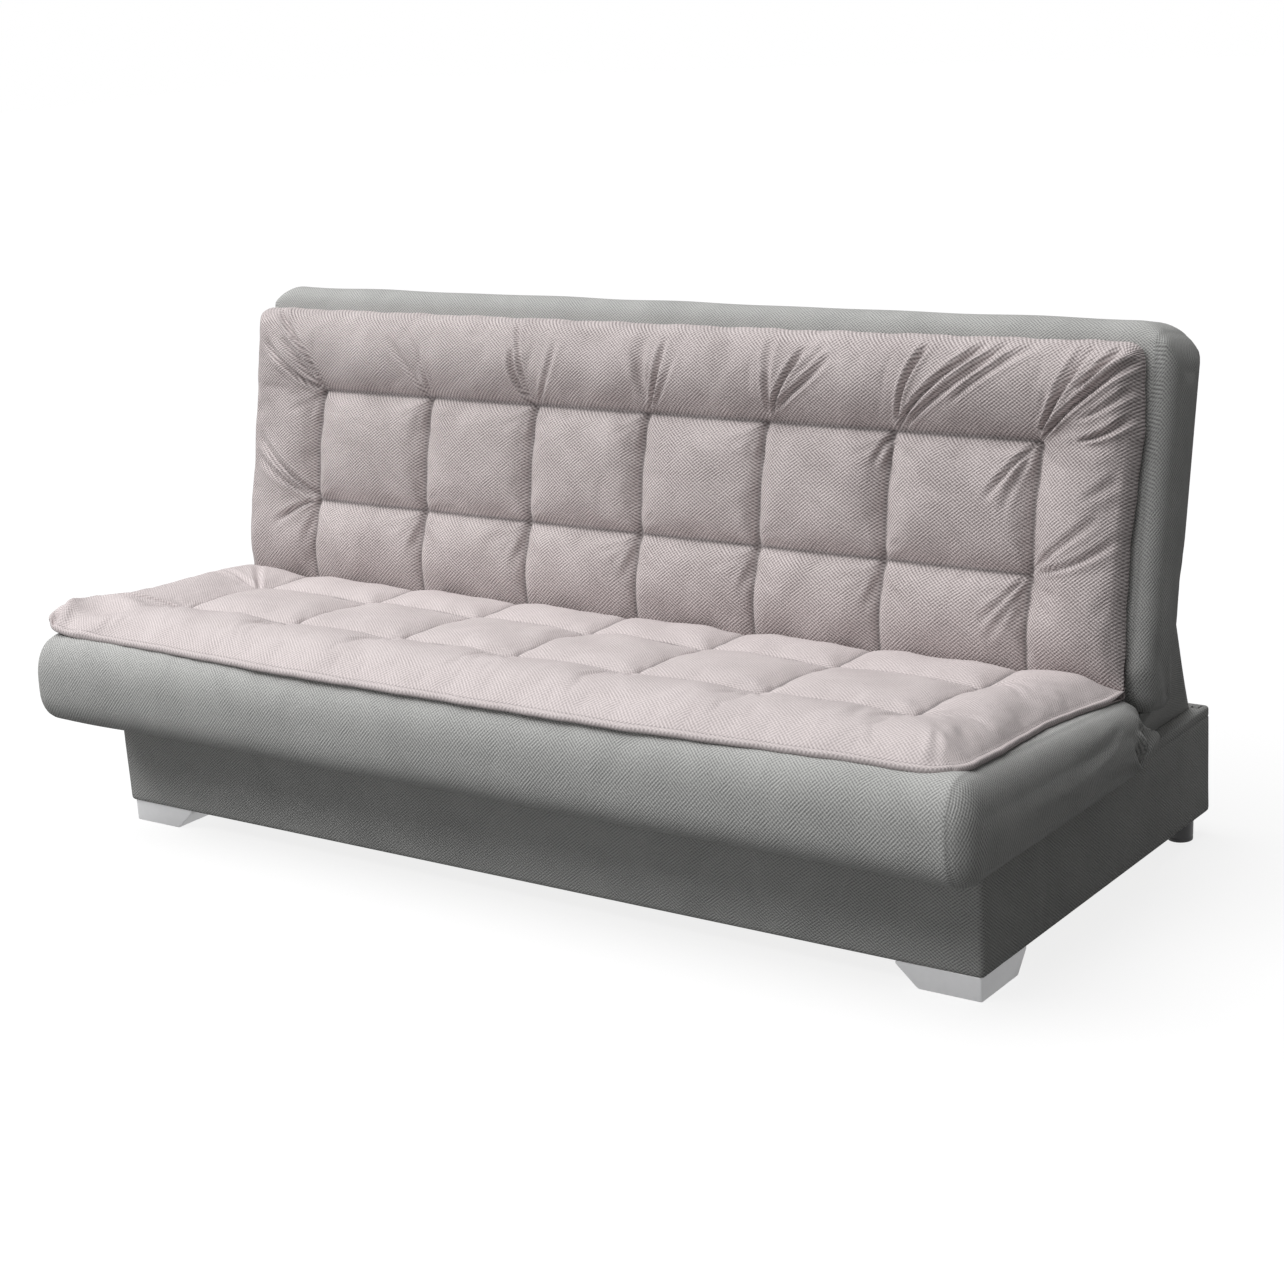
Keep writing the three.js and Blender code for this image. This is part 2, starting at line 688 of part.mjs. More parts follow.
// Locking quadrant on the back arm, and the pawl on the box bracket that drops into its notches.
{
  // The quadrant is drawn at its resting place about the pivot, then turned into the back's frame.
  const rest = backGroup.rotation.x;
  const polar = (angle, radius) => [radius * Math.cos(angle - rest), radius * Math.sin(angle - rest)];
  const root = ratchetRadius - toothDepth;
  const noseHalf = (pawlNoseWidth / 2 + clearance) / root;
  const firstAngle = pawlNoseAngle - noseHalf * toothLeadShare;
  const points = [polar(firstAngle, 0), polar(firstAngle, ratchetRadius)];
  for (let k = 0; k < toothCount; k += 1) {
    const notch = pawlNoseAngle + k * toothPitch;
    const flatEnd = Math.max(noseHalf, (toothFlatShare * toothPitch) / 2);
    points.push(polar(notch - noseHalf, ratchetRadius), polar(notch - noseHalf, root));
    const rampEnd = notch + toothPitch - noseHalf * toothReliefShare;
    points.push(polar(notch + flatEnd, root), polar(rampEnd, ratchetRadius));
  }
  const lastAngle = pawlNoseAngle + toothCount * toothPitch;
  points.push(polar(lastAngle, ratchetRadius), polar(lastAngle, 0));
  const quadrant = plate(outline(points), backArmInnerX, backArmOuterX);

  const railMiddle = backFrame.railMiddle;
  const armKnee = [backFrame.crossBottom - backArmWidth, -backArmWidth];
  const armStart = [backFrame.crossBottom + backArmRise, railMiddle];
  const armEnd = [armStart[0] + backArmLength, railMiddle];
  const hole = plate(
    disc(0, 0, boltRadius + clearance),
    backArmInnerX - overrun,
    backArmOuterX + overrun,
  );
  const arm = cut(
    join(
      plate(disc(0, 0, ratchetWebRadius), backArmInnerX, backArmOuterX),
      quadrant,
      plate(bar([0, 0], armKnee, backArmWidth), backArmInnerX, backArmOuterX),
      plate(bar(armKnee, armStart, backArmWidth), backArmInnerX, backArmOuterX),
      plate(bar(armStart, armEnd, backArmEndWidth), backArmInnerX, backArmOuterX),
    ),
    hole,
  );
  addPair(backGroup, "back_arm", arm, finishes.steel);

  // Box bracket: a steel plate bolted to the side board, with both pivots and the pawl on it.
  const bracketTop = backPivotZ;
  const bracketFront = seatPivotY - seatArmRadius - clearance;
  const bracketRear = backPivotY + bracketBehindPivot;
  const rim = boxTop - bracketRimDrop;
  const bracketFoot = boxTop - bracketDrop;
  const bracketShape = outline([
    [bracketFront, bracketTop],
    [bracketFront, rim],
    [bracketFront - bracketEar, rim - bracketEar],
    [bracketFront - bracketEar, bracketFoot],
    [bracketRear + bracketEar, bracketFoot],
    [bracketRear + bracketEar, rim - bracketEar],
    [bracketRear, rim],
    [bracketRear, (rim + bracketTop) / 2],
    [backPivotY + backArmRadius, bracketTop],
  ]);
  const throughBracket = (y, z, radius) =>
    plate(disc(y, z, radius + clearance), bracketInnerX - overrun, bracketOuterX + overrun);
  const bracket = cut(
    join(
      plate(bracketShape, bracketInnerX, bracketOuterX),
      plate(disc(seatPivotY, seatPivotZ, seatArmRadius), bracketInnerX, bracketOuterX),
      plate(disc(backPivotY, backPivotZ, backArmRadius), bracketInnerX, bracketOuterX),
    ),
    throughBracket(seatPivotY, seatPivotZ, boltRadius),
    throughBracket(backPivotY, backPivotZ, boltRadius),
    throughBracket(pawlPivotY, pawlPivotZ, pawlPinRadius),
  );
  addPair(boxGroup, "box_bracket", bracket, finishes.steel);

  // A bolt: head against the bracket's outer face, shank through the arm, nut on the inside.
  const bolt = (y, z, shank, headRadius, nutFace, headHeight) => {
    const headFace = bracketOuterX + clearance;
    const profile = [
      [0, headFace + headHeight],
      [headRadius, headFace + headHeight],
      [headRadius, headFace],
      [shank, headFace],
      [shank, nutFace],
      [headRadius, nutFace],
      [headRadius, nutFace - headHeight],
      [0, nutFace - headHeight],
    ];
    const turned = new THREE.LatheGeometry(
      profile.reverse().map(([r, x]) => new THREE.Vector2(r, x)),
      16,
    );
    return geometryOf(solidOf(turned.rotateZ(-Math.PI / 2).translate(0, y, z)));
  };
  const seatBolt = bolt(
    seatPivotY,
    seatPivotZ,
    boltRadius,
    boltHeadRadius,
    seatArmInnerX - clearance,
    boltHeadHeight,
  );
  const backBolt = bolt(
    backPivotY,
    backPivotZ,
    boltRadius,
    boltHeadRadius,
    backArmInnerX - clearance,
    boltHeadHeight,
  );
  const pawlPin = bolt(
    pawlPivotY,
    pawlPivotZ,
    pawlPinRadius,
    pawlPinHeadRadius,
    backArmInnerX - clearance,
    pawlPinHeadHeight,
  );
  addPair(boxGroup, "seat_pivot_bolt", seatBolt, finishes.bolt);
  addPair(boxGroup, "back_pivot_bolt", backBolt, finishes.bolt);
  addPair(boxGroup, "pawl_pin", pawlPin, finishes.bolt);

  // The pawl: a round hub and a finger that narrows to its nose in the first notch.
  const noseRadius = root + clearance;
  const noseY = backPivotY + noseRadius * Math.cos(pawlNoseAngle);
  const noseZ = backPivotZ + noseRadius * Math.sin(pawlNoseAngle);
  const outward = [Math.cos(pawlNoseAngle), Math.sin(pawlNoseAngle)];
  const along = [-outward[1], outward[0]];
  const half = pawlNoseWidth / 2;
  const fingerRearShares = [-0.8, -0.5];
  const fingerTopShares = [0.4, 0.8];
  const onHub = ([across, up]) => [pawlPivotY + across * pawlRadius, pawlPivotZ + up * pawlRadius];
  const at = (out, side) => [
    noseY + out * outward[0] + side * along[0],
    noseZ + out * outward[1] + side * along[1],
  ];
  const finger = outline([
    at(0, half),
    at(0, -half),
    at(pawlTipLength, -half - clearance),
    onHub(fingerRearShares),
    onHub(fingerTopShares),
    at(pawlTipLength, half + clearance),
  ]);
  const pawl = cut(
    join(
      plate(disc(pawlPivotY, pawlPivotZ, pawlRadius), backArmInnerX, backArmOuterX),
      plate(finger, backArmInnerX, backArmOuterX),
    ),
    plate(
      disc(pawlPivotY, pawlPivotZ, pawlPinRadius + clearance),
      backArmInnerX - overrun,
      backArmOuterX + overrun,
    ),
  );
  addPair(boxGroup, "pawl", pawl, finishes.steel);
}

// A tufted pad: a flat underside, and a top that dips to the stitched lines and swells between
// them. It is drawn with X along the sofa and Y from the crease edge to the free edge.
function tuftedPad(half, depth, rows) {
  const columns = Array.from(
    { length: tuftColumns },
    (_, i) => (i - (tuftColumns - 1) / 2) * tuftSpacing,
  );
  const seamX = [-outerTuftX, ...columns, outerTuftX];
  const stations = (marks, shares) =>
    marks
      .slice(1)
      .flatMap((mark, i) => shares.map((share) => marks[i] + share * (mark - marks[i])))
      .concat(marks[marks.length - 1]);
  const cellShares = [0, 0.1, 0.32, 0.68, 0.9];
  const xs = stations([-half, ...seamX, half], cellShares);
  const ys = stations([0, ...rows, depth], cellShares);
  const lastRow = rows[rows.length - 1];
  const cell = tuftSpacing / 2;

  // Distance to the nearest stitched line: columns run up from the crease to the last row.
  const seamDistance = (x, y) => {
    const toColumn = Math.min(
      ...seamX.map((seam) => Math.hypot(x - seam, Math.max(0, y - lastRow))),
    );
    const toRow = Math.min(
      ...rows.map((row) => Math.hypot(y - row, Math.max(0, Math.abs(x) - outerTuftX))),
    );
    return Math.min(toColumn, toRow);
  };
  const swell = (distance, reach) => Math.sin((Math.min(1, distance / reach) * Math.PI) / 2);
  const top = (x, y) => {
    const puff = padSeamThickness + padCrown * swell(seamDistance(x, y), cell);
    const sideEdge = swell(Math.min(half - Math.abs(x), depth - y), padEdgeRounding);
    const outer = padEdgeThickness + (puff - padEdgeThickness) * sideEdge;
    return padCreaseThickness + (outer - padCreaseThickness) * swell(y, padCreaseRounding) ** 2;
  };
  // A point near a plan corner is drawn in to the corner's arc.
  const plan = (x, y) => {
    const dx = Math.abs(x) - (half - padCornerRadius);
    const middle = depth / 2;
    const dy = Math.abs(y - middle) - (middle - padCornerRadius);
    if (dx <= 0 || dy <= 0) return [x, y];
    const pull = 1 - Math.max(dx, dy) / Math.hypot(dx, dy);
    return [x - Math.sign(x) * dx * pull, y - Math.sign(y - middle) * dy * pull];
  };
  const positions = [];
  const faces = [];
  const across = xs.length;
  ys.forEach((y) => xs.forEach((x) => positions.push(...plan(x, y), top(x, y))));
  for (let j = 0; j + 1 < ys.length; j += 1) {
    for (let i = 0; i + 1 < across; i += 1) {
      const a = j * across + i;
      faces.push(a, a + 1, a + across + 1, a, a + across + 1, a + across);
    }
  }
  const rim = [
    ...xs.map((_, i) => i),
    ...ys.slice(1).map((_, j) => (j + 1) * across + across - 1),
    ...xs.slice(1).map((_, i) => (ys.length - 1) * across + across - 2 - i),
    ...ys.slice(1, -1).map((_, j) => (ys.length - 2 - j) * across),
  ];
  const base = positions.length / 3;
  const count = rim.length;
  rim.forEach((v) => positions.push(positions[3 * v], positions[3 * v + 1], 0));
  rim.forEach((v, i) => {
    const next = (i + 1) % count;
    faces.push(base + i, base + next, rim[next], base + i, rim[next], v);
  });
  const floor = THREE.ShapeUtils.triangulateShape(
    rim.map((v) => new THREE.Vector2(positions[3 * v], positions[3 * v + 1])),
    [],
  );
  for (const [a, b, c] of floor) faces.push(base + c, base + b, base + a);
  const geometry = new THREE.BufferGeometry();
  geometry.setAttribute("position", new THREE.Float32BufferAttribute(positions, 3));
  geometry.setIndex(faces);
  geometry.computeVertexNormals();
  return geometry;
}

{
  // Seat pad, on the seat's slanting top: its Y runs from the crease forwards.
  const seatPadDepth = seatDepth - seatPadRearGap + seatPadFrontOverhang;
  const lastRow = seatPadDepth - seatPadFrontBorder;
  const seatRows = [lastRow - tuftRowSpacing, lastRow];
  const pad = addPiece(
    new THREE.Group(),
    "seat_pad",
    tuftedPad(sofaHalf - seatPadSideInset, seatPadDepth, seatRows).rotateZ(Math.PI),
    finishes.roseFabric,
  );
  const padRearY = seatRearY - seatPadRearGap;
  pad.rotation.x = -seatTilt;
  pad.position.set(0, padRearY, seatBottom + seatThicknessAt(padRearY) + clearance);
  seatGroup.add(pad);

  // Back pad, on the back's front face.
  const backPadDepth = backPadBottomBorder + tuftRowSpacing + backPadTopBorder;
  const padY = backToeY + backPadToeGap;
  const backPad = addPiece(
    backGroup,
    "back_pad",
    tuftedPad(sofaHalf - backPadSideInset, backPadDepth, [
      backPadBottomBorder,
      backPadBottomBorder + tuftRowSpacing,
    ]),
    finishes.roseFabric,
  );
  backPad.position.set(0, padY, backFrontZ + clearance);
}

// Rear skirt: one cloth from round the back's lower rear edges down into the box. It closes the
// gap behind and beside the back, and folds away into the box as the back goes down.
{
  const acrossSteps = 16;
  const dropSteps = 8;
  const upright = Math.PI / 2 - backLean;
  const onBack = (x, up, out) =>
    new THREE.Vector3(
      x,
      backPivotY + up * Math.cos(upright) - out * Math.sin(upright),
      backPivotZ + up * Math.sin(upright) + out * Math.cos(upright),
    );
  const half = clothThickness / 2;
  const topX = sofaHalf - skirtTopInset;
  const standOff = half + skirtStandOff;
  const heel = backRearRounding + standOff;
  const heelUp = backToeY + backRearRounding;
  const heelOut = backRearZ + backRearRounding;
  const heelPoint = (angle) => [heelUp - heel * Math.cos(angle), heelOut - heel * Math.sin(angle)];
  const sidePath = [
    [backToeY - standOff, backFrontZ - backToeCutDepth - skirtToeInset],
    heelPoint(0),
    heelPoint(Math.PI / 4),
    heelPoint(Math.PI / 2),
    [skirtTopUpBack, backRearZ - standOff],
  ];
  const lowX = boardInnerX - clearance - half;
  const lowRear = insideRearY - clearance - half;
  const lowFront = seatRearY + skirtSideGap;
  const lowShares = [0, 0.2, 0.4, 0.6, 1];
  const rimZ = boxTop + clearance;
  const rightUpper = sidePath.map(([up, out]) => onBack(topX, up, out));
  const rightLower = lowShares.map(
    (share) => new THREE.Vector3(lowX, lowFront + share * (lowRear - lowFront), rimZ),
  );
  const flip = (point) => new THREE.Vector3(-point.x, point.y, point.z);
  const walkAcross = (corner) =>
    Array.from({ length: acrossSteps - 1 }, (_, i) =>
      corner.clone().lerp(flip(corner), (i + 1) / acrossSteps),
    );
  const whole = (side) => [
    ...side,
    ...walkAcross(side[side.length - 1]),
    ...side.slice().reverse().map(flip),
  ];
  const upper = whole(rightUpper);
  const lower = whole(rightLower);
  const pullTo = new THREE.Vector3(0, (lowFront + lowRear) / 2, boxTop);
  const direction = (i) => {
    const ahead = upper[Math.min(i + 1, upper.length - 1)].clone();
    ahead.add(lower[Math.min(i + 1, upper.length - 1)]);
    ahead.sub(upper[Math.max(i - 1, 0)]).sub(lower[Math.max(i - 1, 0)]);
    return ahead.normalize();
  };
  const sheet = (offset) =>
    upper.map((high, i) => {
      const fallLine = lower[i].clone().sub(high).normalize();
      const outward = direction(i).cross(fallLine).normalize();
      const drop = Array.from({ length: dropSteps + 1 }, (_, k) => {
        const share = k / dropSteps;
        const point = high.clone().lerp(lower[i], share);
        const inward = pullTo.clone().sub(point).setX(0).normalize();
        const side = Math.abs(point.x) / topX;
        const belly = Math.sin(share * Math.PI);
        const fold = Math.cos((i / upper.length) * skirtFolds * Math.PI * 2) * skirtFoldDepth;
        point.addScaledVector(inward, belly * (skirtSag + fold) * (1 - side ** 4));
        return k < dropSteps ? point.addScaledVector(outward, offset) : point;
      });
      const rim = drop[dropSteps];
      const flat = new THREE.Vector3(outward.x, outward.y, 0).normalize();
      rim.addScaledVector(flat, offset);
      return [...drop, rim.clone().setZ(boxTop - skirtHem)];
    });
  const outerSide = sheet(half);
  const innerSide = sheet(-half);
  const rings = outerSide.map((line, i) =>
    [...line, ...innerSide[i].slice().reverse()].map((p) => [p.x, p.y, p.z]),
  );
  const count = rings[0].length;
  const faces = [];
  for (let r = 0; r + 1 < rings.length; r += 1) {
    for (let i = 0; i < count; i += 1) {
      const next = (i + 1) % count;
      const [a, b, c, d] = [i, next, next + count, i + count].map((k) => k + r * count);
      faces.push(a, b, c, a, c, d);
    }
  }
  const last = (rings.length - 1) * count;
  for (let i = 0; i < count / 2 - 1; i += 1) {
    const [a, b, c, d] = [i, i + 1, count - 2 - i, count - 1 - i];
    faces.push(c, b, a, d, c, a);
    faces.push(a + last, b + last, c + last, a + last, c + last, d + last);
  }
  const geometry = new THREE.BufferGeometry();
  geometry.setAttribute("position", new THREE.Float32BufferAttribute(rings.flat(2), 3));
  geometry.setIndex(faces);
  const turned = solidOf(geometry).volume() < 0;
  if (turned) geometry.setIndex(faces.reverse());
  geometry.computeVertexNormals();
  addPiece(boxGroup, "rear_skirt", geometry, finishes.greyFabric);
}

// The frame's origin is the middle of the sofa's footprint, on the floor.
sofa.updateMatrixWorld(true);
const footprint = new THREE.Box3().setFromObject(sofa, true);
sofa.position.y = -(footprint.min.y + footprint.max.y) / 2;

export default sofa;
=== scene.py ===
import bmesh
import bpy
import numpy as np
from mathutils import Matrix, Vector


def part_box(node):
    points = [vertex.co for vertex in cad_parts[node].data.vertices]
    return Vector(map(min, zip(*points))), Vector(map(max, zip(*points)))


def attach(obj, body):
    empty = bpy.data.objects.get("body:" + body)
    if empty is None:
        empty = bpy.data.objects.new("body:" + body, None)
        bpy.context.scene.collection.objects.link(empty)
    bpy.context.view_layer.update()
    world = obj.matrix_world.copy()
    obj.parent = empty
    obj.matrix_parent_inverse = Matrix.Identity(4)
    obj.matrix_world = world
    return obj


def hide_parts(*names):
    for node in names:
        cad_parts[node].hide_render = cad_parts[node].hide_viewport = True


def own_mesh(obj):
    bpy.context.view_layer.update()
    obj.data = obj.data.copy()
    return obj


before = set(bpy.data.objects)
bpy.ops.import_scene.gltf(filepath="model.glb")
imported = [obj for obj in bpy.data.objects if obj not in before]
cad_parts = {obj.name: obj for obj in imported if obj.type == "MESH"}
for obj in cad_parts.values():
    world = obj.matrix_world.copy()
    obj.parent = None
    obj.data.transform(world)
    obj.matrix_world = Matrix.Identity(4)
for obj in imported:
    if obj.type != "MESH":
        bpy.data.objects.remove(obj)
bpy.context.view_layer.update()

# Room: a pale floor under a white surround, a broad soft lamp high on the left, two weaker panels
# in front on the left, one high and one low, and the camera where the photographer stood, to the
# right of the sofa and a little above it.
scene = bpy.context.scene
scene.view_settings.view_transform = "Standard"


def stand(name, data, place=(0, 0, 0), axes=np.eye(3)):
    """Put an object into the scene at a place; axes lists its own three axes."""
    made = bpy.data.objects.new(name, data)
    scene.collection.objects.link(made)
    turned = Matrix(np.transpose(axes).tolist()).to_4x4()
    made.matrix_world = Matrix.Translation(np.array(place, float).tolist()) @ turned
    return made


def aim(direction):
    """The axes of a lamp that shines from a direction."""
    direction = direction / np.linalg.norm(direction)
    side = np.cross([0, 0, 1], direction) / np.hypot(*direction[:2])
    return [side, np.cross(direction, side), direction]


swing, dip, bank = np.radians([36.8, 15.8, -3.7])
away = np.array([-np.sin(swing) * np.cos(dip), np.cos(swing) * np.cos(dip), -np.sin(dip)])
level = np.array([np.cos(swing), np.sin(swing), 0.0])
above = np.cross(level, away)
right = level * np.cos(bank) + above * np.sin(bank)
upward = above * np.cos(bank) - level * np.sin(bank)
camera_data = bpy.data.cameras.new("camera")
camera_data.lens, camera_data.sensor_width, camera_data.clip_end = 70.58, 36.0, 60.0
scene.camera = stand("camera", camera_data, (2.5456, -3.3055, 1.5384), [right, upward, -away])

lamp_data = bpy.data.lights.new("soft_lamp", "SUN")
lamp_data.energy, lamp_data.angle = 2.6, np.radians(60)
stand("soft_lamp", lamp_data, axes=aim(np.array([-0.30, -0.27, 0.9149])))
sofa_middle = np.array([0, 0, 0.4])
for name, power, place in (
    ("high_left_panel", 42, np.array([-2.0, -1.9, 2.9])),
    ("low_front_panel", 17, np.array([-0.2, -3.9, 1.1])),
):
    panel_data = bpy.data.lights.new(name, "AREA")
    panel_data.energy, panel_data.size = power, 1.6
    stand(name, panel_data, place, aim(place - sofa_middle))


def join(tree, value, socket):
    """Give an input a value, or link an output to it. None leaves the input as it is."""
    if isinstance(value, bpy.types.NodeSocket):
        tree.links.new(value, socket)
    elif value is not None:
        socket.default_value = value


def add_node(tree, kind, values=(), **settings):
    """One node of a tree: its settings by name, and its inputs, each a value or a linked output."""
    made = tree.nodes.new("ShaderNode" + kind)
    for name, value in settings.items():
        setattr(made, name, value)
    for name, value in dict(values).items():
        join(tree, value, made.inputs[name])
    return made


def math(tree, operation, *values, clamp=False):
    """What a math node gives for its values, each a number or an output."""
    values = dict(enumerate(values))
    return add_node(tree, "Math", values, operation=operation, use_clamp=clamp).outputs[0]


def seen_white(tree, dull, white):
    """Camera, mirror and glass rays meet the shader white, and all other rays the shader dull."""
    path = add_node(tree, "LightPath").outputs
    seen = math(tree, "MAXIMUM", path["Is Camera Ray"], path["Is Glossy Ray"])
    seen = math(tree, "MAXIMUM", seen, path["Is Transmission Ray"])
    return add_node(tree, "MixShader", {0: seen, 1: dull.outputs[0], 2: white.outputs[0]}).outputs[0]


def empty_tree(owner):
    """The node tree of a world or a material, cleared."""
    owner.use_nodes = True
    owner.node_tree.nodes.clear()
    return owner.node_tree


white = (1, 1, 1, 1)
scene.world = bpy.data.worlds.new("surround")
tree = empty_tree(scene.world)
low_light = add_node(tree, "Background", {"Color": white, "Strength": 0.16})
paper_white = add_node(tree, "Background", {"Color": white, "Strength": 1.0})
add_node(tree, "OutputWorld", {0: seen_white(tree, low_light, paper_white)})

reach = 20
floor_mesh = bpy.data.meshes.new("floor")
floor_corners = [(-reach, -reach, 0), (reach, -reach, 0), (reach, reach, 0), (-reach, reach, 0)]
floor_mesh.from_pydata(floor_corners, [], [(0, 1, 2, 3)])
floor_paint = bpy.data.materials.new("floor_paint")
tree = empty_tree(floor_paint)
floor_dull = add_node(tree, "BsdfDiffuse", {"Color": (0.11, 0.11, 0.11, 1)})
floor_face = add_node(tree, "BsdfDiffuse", {"Color": (0.20, 0.20, 0.20, 1)})
floor_glow = add_node(tree, "Emission", {"Color": white, "Strength": 0.83})
floor_white = add_node(tree, "AddShader", {0: floor_face.outputs[0], 1: floor_glow.outputs[0]})
add_node(tree, "OutputMaterial", {0: seen_white(tree, floor_dull, floor_white)})
floor_mesh.materials.append(floor_paint)
stand("floor", floor_mesh)

# Boards of the storage box: 18 mm chipboard for the four walls and a thin floor panel, screwed at
# the corners. Their cut chips show wherever the lifted seat lets one look into the box.


def effect_group(name, inputs):
    """A shader node group and what its inputs give. An input's first value tells its kind: four
    numbers are a colour, one is a number, and None is a place."""
    group = bpy.data.node_groups.new(name, "ShaderNodeTree")
    for label, value in inputs.items():
        kind = "Vector" if value is None else "Color" if np.size(value) == 4 else "Float"
        made = group.interface.new_socket(label, in_out="INPUT", socket_type="NodeSocket" + kind)
        if value is not None:
            made.default_value = value
    return group, group.nodes.new("NodeGroupInput").outputs


def end_group(group, **results):
    """Let a node group give its results: Color is a colour and the others are numbers."""
    for label in results:
        kind = "NodeSocketColor" if label == "Color" else "NodeSocketFloat"
        group.interface.new_socket(label, in_out="OUTPUT", socket_type=kind)
    end = group.nodes.new("NodeGroupOutput")
    for label, value in results.items():
        join(group, value, end.inputs[label])


def mix(tree, factor, first, second):
    """A colour between two others."""
    values = {"Factor": factor, "A": first, "B": second}
    return add_node(tree, "Mix", values, data_type="RGBA").outputs["Result"]


def noise(tree, place, scale, detail, **more):
    """What a noise texture gives: a number, and a colour named Color."""
    values = {"Vector": place, "Scale": scale, "Detail": detail, **more}
    return add_node(tree, "TexNoise", values).outputs


def finish(name, roughness, bump, groups, stretch=(1, 1, 1), **sockets):
    """A material with one Principled shader, whose plain numbers are sockets. Each node group in turn
    gives colour, height and perhaps roughness; where a group's value is a name, it stands for the
    numbers stored at the piece's points. The place is the piece's own, stretched along its axes, or
    without stretch the cloth's own map. bump is the bump's strength and its distance in metres."""
    made = bpy.data.materials.new(name)
    made.use_nodes = True
    tree = made.node_tree
    shader = tree.nodes["Principled BSDF"].inputs
    for label, value in {"Roughness": roughness, **sockets}.items():
        shader[label.replace("_", " ")].default_value = value
    if stretch:
        place = add_node(tree, "TexCoord").outputs["Object"]
        place = add_node(tree, "Mapping", {"Vector": place, "Scale": stretch}).outputs[0]
    else:
        place = add_node(tree, "UVMap", uv_map="cloth").outputs[0]
    flow = {"Vector": place}
    for group, values in groups:
        step = add_node(tree, "Group", node_tree=group)
        for socket in list(step.inputs):
            value = values.get(socket.name, flow.get(socket.name))
            if isinstance(value, str):
                value = add_node(tree, "Attribute", attribute_name=value).outputs["Fac"]
            join(tree, value, socket)
        flow.update((socket.name, socket) for socket in step.outputs)
    join(tree, flow["Color"], shader["Base Color"])
    join(tree, flow.get("Roughness"), shader["Roughness"])
    relief = {"Strength": bump[0], "Distance": bump[1], "Height": flow["Height"]}
    join(tree, add_node(tree, "Bump", relief).outputs["Normal"], shader["Normal"])
    return made


def give_finish(look, names):
    """Put a finish on CAD nodes by name; their meshes stay as they are."""
    for name in names:
        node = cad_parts[name]
        node.data.materials.clear()
        node.data.materials.append(look)


speckle, given = effect_group(
    "chip_speckle",
    {"Vector": None, "Size": 0.004, "Light": (0.6, 0.5, 0.35, 1), "Dark": (0.4, 0.3, 0.2, 1)},
)
chip_scale = math(speckle, "DIVIDE", 1.0, given["Size"])
chip_cells = {"Vector": given["Vector"], "Scale": chip_scale}
chip_cells = add_node(speckle, "TexVoronoi", chip_cells, feature="F1").outputs
chip_tone = mix(
    speckle, 0.35, chip_cells["Color"], noise(speckle, given["Vector"], 5.0, 4.0)["Color"]
)
end_group(
    speckle,
    Color=mix(speckle, chip_tone, given["Dark"], given["Light"]),
    Height=chip_cells["Distance"],
)
chip_look = {"Size": 0.0045, "Light": (0.56, 0.42, 0.25, 1), "Dark": (0.34, 0.23, 0.13, 1)}
chipboard = finish("chipboard", 0.72, (0.25, 0.0006), [(speckle, chip_look)])
give_finish(
    chipboard, ["front_board", "rear_board", "side_board_right", "side_board_left", "floor_panel"]
)

# Pine battens under the floor panel, corner blocks, and the rails of the seat's and the back's
# frames: planed softwood, with its grain along each stick.
grain, given = effect_group(
    "wood_grain", {"Vector": None, "Early": (0.7, 0.5, 0.3, 1), "Late": (0.5, 0.3, 0.15, 1)}
)
ring_values = {"Vector": given["Vector"], "Scale": 9.0, "Distortion": 5.0, "Detail": 2.0}
grain_rings = add_node(grain, "TexWave", ring_values).outputs["Fac"]
grain_fibre = noise(grain, given["Vector"], 14.0, 3.0, Distortion=0.4)[0]
grain_lines = math(grain, "MULTIPLY", grain_fibre, grain_rings)
grain_color = mix(grain, grain_lines, given["Early"], given["Late"])
end_group(grain, Color=grain_color, Height=grain_lines)

rails = [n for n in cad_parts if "rail" in n or "batten" in n or "corner_block" in n]
along_sofa = [n for n in rails if n.endswith(("front", "rear", "bottom", "top"))]
upright = [n for n in rails if "corner_block" in n]
across_sofa = [n for n in rails if n not in along_sofa + upright]
pine_look = {"Early": (0.68, 0.50, 0.29, 1), "Late": (0.47, 0.28, 0.12, 1)}
for name, stretch, sticks in (
    ("pine_along", (0.6, 9, 9), along_sofa),
    ("pine_upright", (9, 9, 0.6), upright),
    ("pine_across", (9, 0.6, 9), across_sofa),
):
    give_finish(finish(name, 0.6, (0.2, 0.0005), [(grain, pine_look)], stretch), sticks)

# Box cover: the grey upholstery cloth over thin wadding, pulled round the four boards, folded over
# their top edge as a soft roll and stapled under the bottom edge.


def cell_corners(rows, cols):
    """Grid places (i, j) of the four corners of each cell of a grid."""
    i, j = np.meshgrid(np.arange(rows), np.arange(cols), indexing="ij")
    return [(i, j), (i + 1, j), (i + 1, j + 1), (i, j + 1)]


